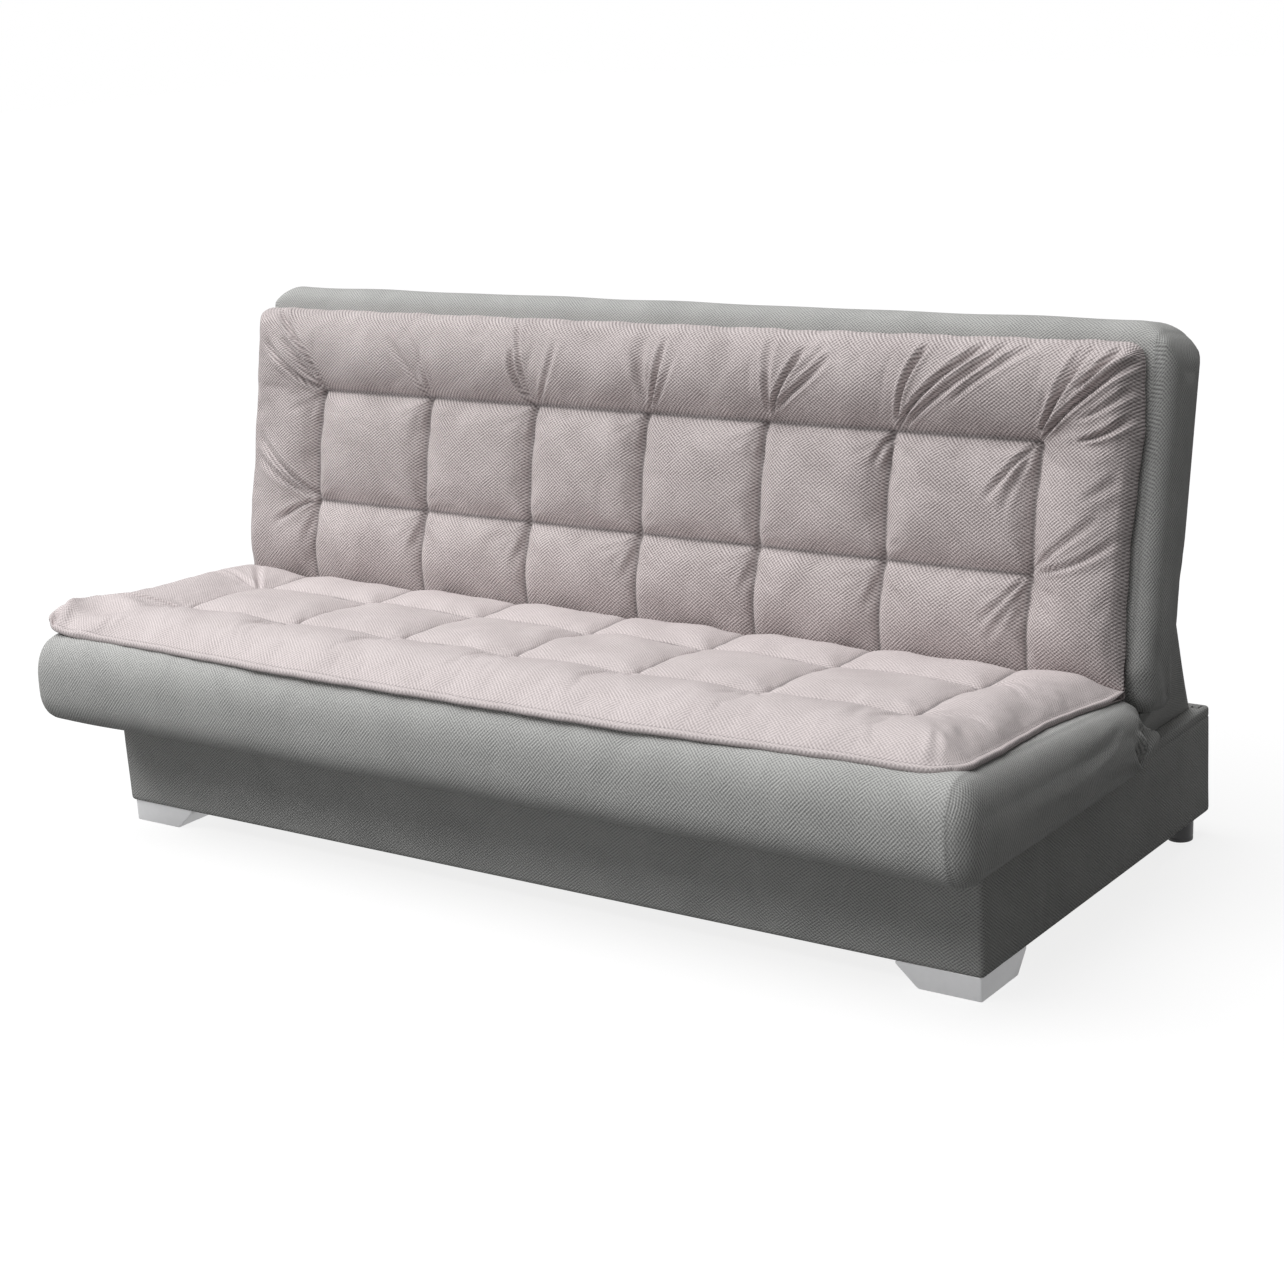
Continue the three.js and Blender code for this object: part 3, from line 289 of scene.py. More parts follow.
def woven_mesh(name, points, uv, look, wrap=False):
    """A mesh over a grid of points: face (i, j) joins points (i, j), (i + 1, j), (i + 1, j + 1) and
    (i, j + 1). With wrap the last column joins the first, and uv has one column more than points.
    uv is the cloth's own length and width in metres, per grid point or per face corner."""
    rows, cols = points.shape[:2]
    corners = cell_corners(rows - 1, cols if wrap else cols - 1)
    quads = np.stack([a * cols + b % cols for a, b in corners], -1).reshape(-1)
    if uv.ndim == 3:
        uv = np.stack([uv[a, b] for a, b in corners], -2)
    mesh = bpy.data.meshes.new(name)
    mesh.vertices.add(rows * cols)
    mesh.vertices.foreach_set("co", points.astype(np.float32).reshape(-1))
    mesh.loops.add(quads.size)
    mesh.loops.foreach_set("vertex_index", quads.astype(np.int32))
    mesh.polygons.add(quads.size // 4)
    mesh.polygons.foreach_set("loop_start", np.arange(0, quads.size, 4, dtype=np.int32))
    mesh.polygons.foreach_set("use_smooth", np.ones(quads.size // 4, bool))
    mesh.uv_layers.new(name="cloth").data.foreach_set("uv", uv.astype(np.float32).reshape(-1))
    mesh.update(calc_edges=True)
    mesh.validate()
    mesh.materials.append(look)
    return stand(name, mesh)


def weld(piece, gap=2e-5):
    """Merge points that lie on each other, drop faces without area and turn all faces outwards."""
    work = bmesh.new()
    work.from_mesh(piece.data)
    bmesh.ops.remove_doubles(work, verts=work.verts, dist=gap)
    bmesh.ops.dissolve_degenerate(work, edges=work.edges, dist=1e-6)
    bmesh.ops.recalc_face_normals(work, faces=work.faces)
    work.to_mesh(piece.data)
    work.free()
    return piece


def thicken(piece, thickness, offset=0):
    """Give a piece's surface a thickness, on both sides of it or with offset -1 behind it."""
    body = piece.modifiers.new("cloth", "SOLIDIFY")
    body.thickness, body.offset = thickness, offset


def hand_over(piece, body, node):
    """Let a piece ride on a body, in place of a CAD node."""
    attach(piece, body)
    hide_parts(node)


def node_box(name):
    """The lowest and the highest corner of a CAD node."""
    return (np.array(v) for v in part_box(name))


def grid_of(*parts):
    """Numbers of each part side by side, each part spread over the same grid."""
    return np.stack(np.broadcast_arrays(*parts), -1)


def travel(points):
    """Length along a line of points, up to each point."""
    return np.append(0, np.cumsum(np.linalg.norm(np.diff(points, axis=0), axis=1)))


def ramp(value, start, length):
    """0 up to the start, 1 from a length after it, and straight in between."""
    return np.clip((value - start) / length, 0, 1)


def arc(distance, radius):
    """Height of a quarter circle at a distance from its start, as a share of its radius."""
    return np.sqrt(np.clip(1 - (1 - ramp(distance, 0, radius)) ** 2, 0, 1))


def hump(distance, width):
    """exp(-(distance / width)^2)."""
    return np.exp(-((distance / width) ** 2))


def ripples(points, seed, size, height):
    """Slow unevenness of stuffed cloth: a sum of six plane waves of random direction and phase, each
    height times the sine of its phase, with wavelengths from size to twice size."""
    dice = np.random.default_rng(seed)
    turn = dice.normal(size=(6, 3))
    turn /= np.linalg.norm(turn, axis=1)[:, None]
    pitch = 2 * np.pi / (size * dice.uniform(1, 2, 6))
    phase = dice.uniform(0, 2 * np.pi, 6)
    return height / 2.4 * np.sin((points @ turn.T) * pitch + phase).sum(-1)


# The weave's pattern lies on the cloth's map, slipped by up to 1 mm. Dots are the cosines of the sum
# and of the difference of its two directions, mixed in patches.
weave, given = effect_group(
    "dimple_weave",
    {
        "Vector": None, "Cell": 0.0045, "Tint": (0.5, 0.5, 0.5, 1),
        "Shade": (0.4, 0.4, 0.4, 1), "Nap": 0.3,
    },
)
lay = given["Vector"]
laid = noise(weave, lay, 120.0, 3.0)["Color"]
for operation, second, third in (
    ("ADD", (-0.5, -0.5, -0.5), None),
    ("MULTIPLY_ADD", (0.0016, 0.0016, 0.0), lay),
    ("MULTIPLY", (0.88, 1.14, 0.0), None),
):
    values = {0: laid, 1: second, 2: third}
    laid = add_node(weave, "VectorMath", values, operation=operation).outputs[0]
laid = add_node(weave, "SeparateXYZ", {0: laid}).outputs
turns = math(weave, "DIVIDE", 2 * np.pi, given["Cell"])
warp, weft = (math(weave, "MULTIPLY", laid[k], turns) for k in (0, 1))
patches = math(weave, "MULTIPLY_ADD", noise(weave, lay, 45.0, 2.0)[0], 1.6, -0.3, clamp=True)
rise = math(weave, "COSINE", math(weave, "SUBTRACT", warp, weft))
fall = math(weave, "COSINE", math(weave, "ADD", warp, weft))
dashes = math(weave, "MULTIPLY", math(weave, "ADD", rise, fall), patches)
dots = math(weave, "MULTIPLY_ADD", math(weave, "SUBTRACT", dashes, fall), 0.5, 0.5)
blotch = noise(weave, lay, 9.0, 3.0, Distortion=1.2)[0]
fleck = noise(weave, lay, 330.0, 2.0, Roughness=0.7)[0]
nap = math(weave, "MULTIPLY", math(weave, "SUBTRACT", blotch, 0.5), given["Nap"])
light = math(weave, "MULTIPLY_ADD", dots, 1.05, -0.35)
light = math(weave, "MULTIPLY_ADD", fleck, 0.8, light)
light = math(weave, "ADD", light, math(weave, "MULTIPLY", nap, 4.0), clamp=True)
end_group(
    weave,
    Color=mix(weave, light, given["Shade"], given["Tint"]),
    Height=math(weave, "ADD", dots, fleck),
)

# Painted shade: a seam is darker in its valley, a sewn edge is darker where its two cloths meet,
# and a topstitch 11 mm from it is a row of small pits, lowered and darkened.
seam_shading, given = effect_group(
    "painted_seam_shade_and_topstitch",
    {
        "Color": (0.5, 0.5, 0.5, 1), "Height": 0.5, "Vector": None, "Seam": 1.0, "Edge": 1.0,
        "Topstitch": 0.0, "Painted_Shade": 0.6,
    },
)


def bell(distance, centre, width, size):
    """size times exp(-((distance - centre) / width)^2) of outputs in the seam's group."""
    part = math(seam_shading, "DIVIDE", math(seam_shading, "SUBTRACT", distance, centre), width)
    square = math(seam_shading, "MULTIPLY", part, part)
    fallen = math(seam_shading, "EXPONENT", math(seam_shading, "MULTIPLY", square, -1.0))
    return math(seam_shading, "MULTIPLY", fallen, size)


stitch_length, line_width = 0.0075, 0.0032
valley_shade = bell(given["Seam"], 0.0, line_width, given["Painted_Shade"])
stitch_place = add_node(seam_shading, "SeparateXYZ", {0: given["Vector"]}).outputs
stitch_along = math(seam_shading, "ADD", stitch_place[0], stitch_place[1])
stitch_wave = math(seam_shading, "MULTIPLY", stitch_along, 2 * np.pi / stitch_length)
stitch_dash = math(seam_shading, "MULTIPLY_ADD", math(seam_shading, "SINE", stitch_wave), 0.5, 0.5)
pit = bell(given["Edge"], 0.011, 0.0012, stitch_dash)
pit = math(seam_shading, "MULTIPLY", pit, given["Topstitch"])
edge_shade = bell(given["Edge"], 0.0, line_width, given["Topstitch"])
# Painted shade: the seam valley, the sewn edge and the topstitch pits darken the colour towards near
# black.
painted_shade = math(seam_shading, "MAXIMUM", valley_shade, math(seam_shading, "MULTIPLY", edge_shade, 0.35))
painted_shade = math(seam_shading, "ADD", painted_shade, math(seam_shading, "MULTIPLY", pit, 0.8), clamp=True)
end_group(
    seam_shading,
    Color=mix(seam_shading, painted_shade, given["Color"], (0.06, 0.055, 0.055, 1)),
    Height=math(seam_shading, "SUBTRACT", given["Height"], math(seam_shading, "MULTIPLY", pit, 2.5)),
)


def cloth_finish(name, cell, tint, shade, nap, depth, sheen, painted_seam_shade=0.0, topstitch=0.0):
    """Woven upholstery cloth on the map of its own length and width: short raised dashes that lean
    one way and then the other in patches, with a short nap that lies in lighter and darker patches,
    and painted shade along the seams where the piece says so."""
    groups = [(weave, {"Cell": cell, "Tint": tint, "Shade": shade, "Nap": nap})]
    if painted_seam_shade:
        sewn = {"Seam": "shaded_line_gap", "Edge": "edge_gap", "Topstitch": topstitch, "Painted_Shade": painted_seam_shade}
        groups.append((seam_shading, sewn))
    plain = {"Sheen_Weight": sheen, "Sheen_Roughness": 0.4, "Specular_IOR_Level": 0.2}
    return finish(name, 0.92, (0.7, depth), groups, stretch=None, **plain)


grey = (0.55, 0.55, 0.536, 1), (0.222, 0.223, 0.22, 1)
grey_cloth = cloth_finish("grey_cloth", 0.0064, *grey, 0.10, 0.0010, 0.05)

cover_low, cover_high = node_box("box_cover")
cover_wall = 0.0068
board_back = 0.0262
cover_corner = 0.010
cover_roll = 0.0048
cover_step = 0.011


def rounded_path(low, high, corner, pitch):
    """A closed path round a rectangle in plan, anticlockwise from its front left: straight sides
    stepped by pitch, and quarter circles of radius corner. Gives points and outward normals."""
    points, normals = [], []
    starts = [low, (high[0], low[1]), high, (low[0], high[1])]
    for k, along in enumerate(np.array([[1, 0], [0, 1], [-1, 0], [0, -1]], float)):
        out = np.array([along[1], -along[0]])
        length = (high - low)[k % 2]
        steps = np.linspace(corner, length - corner, int(length / pitch) + 1)[:, None]
        bend = np.linspace(0, np.pi / 2, 7)[1:-1, None]
        bow = out * np.cos(bend) + along * np.sin(bend)
        centre = starts[k] + along * (length - corner) - out * corner
        points += [starts[k] + along * steps, centre + bow * corner]
        normals += [np.repeat(out[None], len(steps), 0), bow]
    return np.concatenate(points), np.concatenate(normals)


cover_path, cover_out = rounded_path(cover_low[:2], cover_high[:2], cover_corner, cover_step)
# The cover's section, from inside the board over its top edge and the roll, down the face and
# under: how far it lies inside the outer face, and its height above the box's lower edge.
roll_turn = np.linspace(np.pi / 2, 0, 7)
tall = cover_high[2] - cover_low[2]
top = tall + 0.0002
face_heights = np.linspace(tall - 0.026, 0.008, 18)
roll_in, roll_down = cover_roll * (1 - np.cos(roll_turn)), cover_roll * (1 - np.sin(roll_turn))
cover_section = np.concatenate(
    [
        [[board_back, tall - 0.022], [board_back, tall - 0.001]],
        [[board_back - 0.0008, top], [0.016, top], [0.0085, top]],
        np.stack([roll_in, tall - roll_down], 1),
        [[0.0, tall - 0.010], [0.0, tall - 0.0145], [0.0013, tall - 0.0165], [0.0, tall - 0.019]],
        np.stack([0 * face_heights, face_heights], 1),
        [[0.0008, 0.003], [0.0035, 0.0], [cover_wall, 0.0], [cover_wall, 0.010]],
    ]
)
ring = np.arange(len(cover_path) + 1) % len(cover_path)
outward, inset = cover_out[ring, None], cover_section[:, :1]
cover_plan = cover_path[ring, None] - outward * inset
cover_rise = np.broadcast_to(cover_low[2] + cover_section[:, 1:], (*cover_plan.shape[:2], 1))
cover_grid = np.concatenate([cover_plan, cover_rise], -1)
face_share = ramp(np.minimum(cover_section[:, 1], tall - 0.02 - cover_section[:, 1]), 0, 0.05)
cover_swell = face_share * (0.0007 + ripples(cover_grid, 3, 0.16, 0.0006))
cover_grid[..., :2] += outward * np.minimum(cover_swell, 0.0012)[..., None]
cover_length = travel(cover_path)
cover_length = np.append(cover_length, cover_length[-1] + cover_step)
cover_uv = grid_of(cover_length[:, None], travel(cover_section)[None])
box_cover = weld(woven_mesh("upholstered_box_cover", cover_grid, cover_uv, grey_cloth))
thicken(box_cover, 0.0012, -1)
hand_over(box_cover, "base", "box_cover")

# Front feet: moulded corner blocks lacquered silver. Their two outer faces stand upright under the
# box's corner, and their two inner faces slope in below a narrow lip.
foot_low, foot_high = node_box("front_foot_right")
foot_lip = 0.007
foot_taper = np.array([0.038, 0.029])
foot_bevel = 0.0022
foot_corner = 0.003


def foot_mesh(name, side, look):
    """Rings of a rounded square, from the sole up to the top face: each ring's inner sides draw in by
    the taper at the sole and by nothing from the lip up, and bevels round the edges between."""
    tall = foot_high[2] - foot_low[2]
    lip, edge = tall - foot_lip, foot_bevel * 0.3
    heights = np.array([0, 0, edge, foot_bevel, lip - 0.001, lip, tall - foot_bevel, tall - edge])
    heights = np.append(heights, [tall, tall])[:, None]
    inset = np.array([0.02, foot_bevel, edge, 0, 0, 0, 0, edge, foot_bevel, 0.02])[:, None]
    draw_in = np.interp(heights, [0, lip], [1, 0])
    low = foot_low[:2] + draw_in * np.array([foot_taper[0], 0]) + inset + foot_corner
    high = foot_high[:2] - draw_in * np.array([0, foot_taper[1]]) - inset - foot_corner
    turn = np.concatenate([np.linspace(0, np.pi / 2, 5) + k * np.pi / 2 for k in (-1, 0, 1, 2)])
    x_high, y_high = np.repeat([[1, 1, 0, 0], [0, 1, 1, 0]], 5, axis=1) > 0
    x = np.where(x_high, high[:, :1], low[:, :1]) + foot_corner * np.cos(turn)
    y = np.where(y_high, high[:, 1:], low[:, 1:]) + foot_corner * np.sin(turn)
    rings = grid_of(x, y, foot_low[2] + heights)
    middle = rings[[0, -1]].mean(1)[:, None].repeat(rings.shape[1], 1)
    rings = np.concatenate([middle[:1], rings, middle[1:]])
    rings[..., 0] *= side
    uv = rings[..., [0, 2]]
    return weld(woven_mesh(name, rings, np.concatenate([uv, uv[:, :1]], 1), look, wrap=True))


mottle, given = effect_group(
    "mottled_surface",
    {"Vector": None, "Size": 60.0, "Detail": 4.0, "Low": (0.5, 0.5, 0.5, 1), "High": white},
)
mottling = noise(mottle, given["Vector"], given["Size"], given["Detail"])[0]
end_group(mottle, Color=mix(mottle, mottling, given["Low"], given["High"]), Height=mottling)
haze = {"Size": 60.0, "Detail": 4.0, "Low": (0.82, 0.82, 0.83, 1), "High": (0.90, 0.90, 0.91, 1)}
lacquer = {"Metallic": 0.25, "Coat_Weight": 0.15, "Coat_Roughness": 0.25}
silver = finish("silver_lacquer", 0.34, (0.06, 0.0004), [(mottle, haze)], **lacquer)
for side, hand in ((1, "right"), (-1, "left")):
    front_foot = foot_mesh("silver_foot_" + hand, side, silver)
    hand_over(front_foot, "base", "front_foot_" + hand)

# Rear feet: round black plastic studs with a thin collar under the box, a moulded groove near the
# floor and a slightly hollow sole.
stud_low, stud_high = node_box("rear_foot_right")
stud_centre = (stud_low + stud_high) / 2
stud_radius, _, stud_tall = (stud_high - stud_low) / (2, 2, 1)
# Share of the radius and height in metres, from the sole's middle up to the top's middle.
stud_profile = np.array(
    [
        [0.0, 0.0015], [0.8, 0.0015], [0.83, 0.0], [0.86, 0.0002], [0.875, 0.0015], [0.88, 0.006],
        [0.868, 0.0068], [0.868, 0.0080], [0.885, 0.0088], [0.91, 0.033], [0.93, 0.0346],
        [0.985, 0.0352], [1.0, 0.0362], [1.0, 0.0392], [0.985, 0.0400], [0.6, 0.0402],
        [0.0, 0.0402],
    ]
)
pores = {
    "Size": 900.0, "Detail": 2.0, "Low": (0.010, 0.010, 0.011, 1), "High": (0.022, 0.022, 0.024, 1)
}
black = finish("black_plastic", 0.45, (0.15, 0.0003), [(mottle, pores)])
turn = np.linspace(0, 2 * np.pi, 49)
stud_reach, stud_height = stud_radius * stud_profile[:, :1], stud_profile[:, 1:]
for side, hand in ((1, "right"), (-1, "left")):
    # Each ring of the stud is a circle: radius times the cosine and the sine of the turn.
    stud_x = side * stud_centre[0] + stud_reach * np.cos(turn)
    stud_y = stud_centre[1] + stud_reach * np.sin(turn)
    stud_z = stud_low[2] + stud_height * stud_tall / stud_profile[-1, 1]
    stud_uv = grid_of(turn[None] * stud_radius, stud_height)
    stud = weld(woven_mesh("black_stud_" + hand, grid_of(stud_x, stud_y, stud_z), stud_uv, black))
    hand_over(stud, "base", "rear_foot_" + hand)

# Hinge fittings: pressed steel brackets, arms with their toothed quadrants, and pawls, zinc plated,
# with bolts and pins of brighter steel.
plating, given = effect_group(
    "zinc_bloom",
    {"Vector": None, "Bright": (0.6, 0.6, 0.62, 1), "Dull": (0.4, 0.41, 0.43, 1)},
)
bloom = noise(plating, given["Vector"], 35.0, 5.0)[0]
end_group(
    plating,
    Color=mix(plating, bloom, given["Dull"], given["Bright"]),
    Roughness=math(plating, "MULTIPLY_ADD", bloom, 0.25, 0.28),
    Height=noise(plating, given["Vector"], 700.0, 1.0)[0],
)
zinc_look = {"Bright": (0.58, 0.59, 0.60, 1), "Dull": (0.38, 0.39, 0.40, 1)}
bolt_look = {"Bright": (0.72, 0.72, 0.72, 1), "Dull": (0.5, 0.5, 0.51, 1)}
for name, look, fittings in (
    ("zinc_steel", zinc_look, ["box_bracket_", "seat_arm_", "back_arm_", "pawl_"]),
    ("bolt_steel", bolt_look, ["seat_pivot_bolt_", "back_pivot_bolt_", "pawl_pin_"]),
):
    steel = finish(name, 0.4, (0.1, 0.0002), [(plating, look)], Metallic=1.0)
    give_finish(steel, [fitting + hand for fitting in fittings for hand in ("right", "left")])

# Spring units of the seat and the back: coil springs between pads of pressed felt, out of sight
# inside the upholstery.
felt_look = {"Size": 0.006, "Light": (0.62, 0.58, 0.50, 1), "Dark": (0.40, 0.38, 0.35, 1)}
felt = finish("pressed_felt", 0.95, (0.3, 0.001), [(speckle, felt_look)])
give_finish(felt, ["seat_spring_unit", "back_spring_unit"])

# Seat body: a foam block on its frame, pulled tight in the grey cloth. Its front bulges over the
# box, its ends are soft, and a seam runs round each end where the side panel is sewn in.
seam_depth = 0.034
lid_rings = 12
corner_steps = 12
lid_swell = 0.004


def firm_block(name, half, low, high, corners, ends, pitch, shape):
    """Upholstered block. Its section is a rectangle from low to high whose corners are superellipses,
    (radius across, radius up, power) for low-front, high-front, high-rear and low-rear. Towards each
    end all four sides of the section draw in along quarter circles of the radii in ends (front, rear,
    top, bottom), and the flat end closes on its middle line. shape maps (x, across, up) to metres."""
    sides = np.subtract(high, low)
    near = max(ends) * (1 - np.cos(np.linspace(0, np.pi / 2, 15)))[:-1]
    beside_seam = seam_depth + np.array([-0.005, -0.0028, -0.0013, 0, 0.0013, 0.0028, 0.005])
    near = np.sort(np.concatenate([near[np.abs(near - seam_depth) > 0.0065], beside_seam]))
    reach = max(*ends, near[-1] + 0.004)
    depth = np.append(near, np.linspace(reach, half, int((half - reach) / pitch[0]) + 1))
    x = np.concatenate([depth - half, (half - depth)[-2::-1]])
    depth = np.concatenate([depth, depth[-2::-1]])
    draw = np.array([r * (1 - arc(depth, r)) for r in ends]).T
    middle = min(sides - draw[0, [0, 2]] - draw[0, [1, 3]]) / 2
    fold = np.linspace(0, 1, lid_rings + 1)[1:]
    lid_draw = draw[0] + fold[:, None] * middle
    x = np.concatenate([np.full(lid_rings, -half), x, np.full(lid_rings, half)])
    puff = np.concatenate([np.sin(fold[::-1] * np.pi / 2), 0 * depth, np.sin(fold * np.pi / 2)])
    x += np.sign(x) * lid_swell * (puff - 1)
    front, rear, top, bottom = np.concatenate([lid_draw[::-1], draw, lid_draw]).T
    scale = np.concatenate([1 - fold[::-1], 0 * depth + 1, 1 - fold])[:, None]
    # Each corner: its place in every ring, the way from there into the section, and its radii.
    bends = []
    for (from_front, rise), radii in zip(((1, 0), (1, 1), (0, 1), (0, 0)), corners):
        a_draw, b_draw = front if from_front else rear, top if rise else bottom
        a = low[0] + a_draw if from_front else high[0] - a_draw
        b = high[1] - b_draw if rise else low[1] + b_draw
        least = np.array(radii[:2])
        radius = np.maximum(least - np.stack([a_draw, b_draw], 1), 0.2 * least) * scale
        bends.append((a, b, 1 if from_front else -1, -1 if rise else 1, radius))
    across, up = [], []
    for k, (a, b, a_way, b_way, radius) in enumerate(bends):
        after = (k + 1) % 4
        turn = (1.5 - 0.5 * k) * np.pi - np.linspace(0, np.pi / 2, corner_steps + 1)
        power = 2 / corners[k][2]
        cosine = np.sign(np.cos(turn)) * np.abs(np.cos(turn)) ** power
        sine = np.sign(np.sin(turn)) * np.abs(np.sin(turn)) ** power
        a = (a + a_way * radius[:, 0])[:, None] + radius[:, :1] * cosine
        b = (b + b_way * radius[:, 1])[:, None] + radius[:, 1:] * sine
        gap = sides[1 - k % 2] - corners[k][1 - k % 2] - corners[after][1 - k % 2]
        share = np.linspace(0, 1, max(2, int(gap / pitch[1 + k % 2])) + 1)[1:-1]
        next_a, next_b, a_way, b_way, radius = bends[after]
        next_turn = (1.5 - 0.5 * after) * np.pi
        next_a = next_a + radius[:, 0] * (a_way + round(np.cos(next_turn)))
        next_b = next_b + radius[:, 1] * (b_way + round(np.sin(next_turn)))
        across += [a, a[:, -1:] * (1 - share) + next_a[:, None] * share]
        up += [b, b[:, -1:] * (1 - share) + next_b[:, None] * share]
    across, up = np.concatenate(across, 1), np.concatenate(up, 1)
    along = np.repeat(x[:, None], across.shape[1], 1)
    girth = np.diff(across, axis=1, append=across[:, :1]), np.diff(up, axis=1, append=up[:, :1])
    girth = np.append(0, np.cumsum(np.hypot(*girth)[len(x) // 2]))
    body_uv = grid_of(x[:, None], girth[None])
    # The end panel's map is its flat outline, and from there on the length run round the rounding.
    panel_rings = lid_rings + int((near < seam_depth).sum())
    end_uv = np.stack([up, across], -1)
    rounding = slice(lid_rings, panel_rings + 1)
    spots = np.stack([along, across, up], -1)[rounding]
    run = np.linalg.norm(np.diff(spots, axis=0, prepend=spots[:1]), axis=-1).cumsum(0)
    outward = end_uv[panel_rings] - end_uv[lid_rings]
    outward /= np.maximum(np.linalg.norm(outward, axis=-1, keepdims=True), 1e-9)
    end_uv[rounding] = end_uv[lid_rings] + outward * run[..., None]
    end_uv[-panel_rings - 1 :] = end_uv[panel_rings::-1]
    end_uv = np.concatenate([end_uv, end_uv[:, :1]], 1)
    cells = cell_corners(len(x) - 1, across.shape[1])
    ring = cells[0][0]
    sewn_in = ((ring < panel_rings) | (ring >= len(x) - 1 - panel_rings))[..., None]
    uv = np.stack([np.where(sewn_in, end_uv[a, b], body_uv[a, b]) for a, b in cells], -2)
    return weld(woven_mesh(name, shape(along, across, up), uv, grey_sewn, wrap=True))


def mesh_points(piece, kind="co"):
    """The places of a piece's points, or with normal their normals."""
    spots = np.empty(len(piece.data.vertices) * 3, np.float32)
    piece.data.vertices.foreach_get(kind, spots)
    return spots.reshape(-1, 3).astype(float)


def move_points(piece, spots):
    """Put a piece's points at new places."""
    piece.data.vertices.foreach_set("co", spots.astype(np.float32).reshape(-1))
    piece.data.update()


def along_normals(piece, move):
    """Shift each point of a piece along its normal: move gives the shift from points and normals."""
    points, normals = mesh_points(piece), mesh_points(piece, "normal")
    move_points(piece, points + normals * move(points, normals)[:, None])


def mark(piece, label, values):
    """Store one number at each point of a piece."""
    if label not in piece.data.attributes:
        piece.data.attributes.new(label, "FLOAT", "POINT")
    values = np.asarray(values).ravel().astype(np.float32)
    piece.data.attributes[label].data.foreach_set("value", values)


def fold_reach(across, along, fold):
    """Which places (across, along) lie near a fold, their distances from it and the share of its
    length they lie at. A fold is a curve from its start over a guide point to its end."""
    t = np.linspace(0, 1, 61)[:, None]
    curve = (1 - t) ** 2 * fold[:2] + 2 * t * (1 - t) * fold[2:4] + t**2 * fold[4:6]
    low, high = curve.min(0) - 5 * fold[6], curve.max(0) + 5 * fold[6]
    near = (across > low[0]) & (across < high[0]) & (along > low[1]) & (along < high[1])
    gap = np.hypot(across[near][None] - curve[:, :1], along[near][None] - curve[:, 1:])
    return near, gap.min(0), gap.argmin(0) / 60.0


def fold_field(across, along, folds):
    """Height change that folds in cloth make at places (across, along). A fold widens along its
    length from 0.65 to 1.35 of its width. At s widths to the side of it the height changes by depth
    times (0.36 exp(-((|s| - 1.8) / 0.8)^2) - exp(-s^2)), and it fades in its last part."""
    field = np.zeros(len(across))
    for fold in folds:
        near, gap, share = fold_reach(across, along, fold)
        s = gap / (fold[6] * (0.65 + 0.7 * share))
        fade = np.minimum(1, 0.35 + share * 4) * (1 - share**7)
        field[near] += fold[7] * fade * (0.36 * hump(s - 1.8, 0.8) - hump(s, 1))
    return field


def fold_table(rows):
    """Folds from rows of their start, guide and end in millimetres, and their width and depth in
    tenths of a millimetre."""
    return np.array(rows) / ([1000] * 6 + [10000] * 2)


def settle(piece):
    """Make a piece's modifiers part of its mesh."""
    bpy.context.view_layer.update()
    graph = bpy.context.evaluated_depsgraph_get()
    made = bpy.data.meshes.new_from_object(
        piece.evaluated_get(graph), preserve_all_data_layers=True, depsgraph=graph
    )
    piece.modifiers.clear()
    piece.data = made


def cut_slots(piece, boxes):
    """Cut rectangular slots through a piece; each box is its lowest and highest corner."""
    for low, high in boxes:
        tool_mesh = bpy.data.meshes.new("slot_tool")
        corner = np.array([[i, j, k] for i in (0, 1) for j in (0, 1) for k in (0, 1)])
        spots = np.array(low) + corner * np.subtract(high, low)
        walls = [(0, 1, 3, 2), (4, 6, 7, 5), (0, 4, 5, 1), (2, 3, 7, 6), (0, 2, 6, 4), (1, 5, 7, 3)]
        tool_mesh.from_pydata(spots.tolist(), [], walls)
        tool = stand("slot_tool", tool_mesh)
        cut = piece.modifiers.new("slot", "BOOLEAN")
        cut.operation, cut.solver, cut.object = "DIFFERENCE", "EXACT", tool
        settle(piece)
        bpy.data.objects.remove(tool)


seat_low, seat_high = node_box("seat_body")
seat_tilt = np.radians(4.4)
seat_rear_tall = 0.123
seat_half = seat_high[0]
seat_floor = seat_low[2]


def seat_shape(x, across, up):
    """Seat coordinates to metres: the block's height grows to the front by the tilt of its top."""
    share = ramp(up, 0, seat_rear_tall)
    rise = share**1.2 * (seat_high[1] - across) * np.tan(seat_tilt)
    return np.stack([x, across, seat_floor + up + rise], -1)


def end_seam(points, normals):
    """How deep the seam round each end of a block is drawn in."""
    aside = seat_half - np.abs(points[:, 0]) - seam_depth
    return 0.0006 * hump(aside, 0.0024) * (np.abs(normals[:, 0]) < 0.93)


def mark_seams(piece):
    """Store each point's distance from the seam round the block's end."""
    gap = np.abs(seat_half - np.abs(mesh_points(piece)[:, 0]) - seam_depth)
    mark(piece, "shaded_line_gap", gap)
    mark(piece, "edge_gap", gap + 1)


# The bodies' cloth gets painted shade along the seams round their ends.
grey_sewn = cloth_finish("grey_cloth_sewn", 0.0058, *grey, 0.10, 0.0010, 0.05, painted_seam_shade=0.16)
seat_body = firm_block(
    "upholstered_seat",
    seat_half,
    (seat_low[1], 0.0),
    (seat_high[1], seat_rear_tall),
    [(0.050, 0.052, 2.3), (0.060, 0.064, 2.35), (0.035, 0.040, 2.2), (0.030, 0.035, 2.2)],
    (0.040, 0.040, 0.042, 0.034),
    (0.0085, 0.011, 0.006),
    seat_shape,
)
lining_low, lining_high = node_box("seat_lining")
seat_end_folds = fold_table([
    (100, 246, 78, 262, 62, 292, 70, 90), (104, 270, 94, 292, 78, 322, 60, 80),
    (92, 262, 80, 284, 82, 312, 110, -80), (90, 238, 50, 256, -10, 262, 80, 45),
    (108, 300, 96, 330, 76, 350, 60, 40), (75, 232, 20, 258, -60, 262, 80, 26),
    (20, 330, -60, 312, -150, 318, 110, 22), (-120, 262, -200, 285, -300, 270, 120, 18),
])


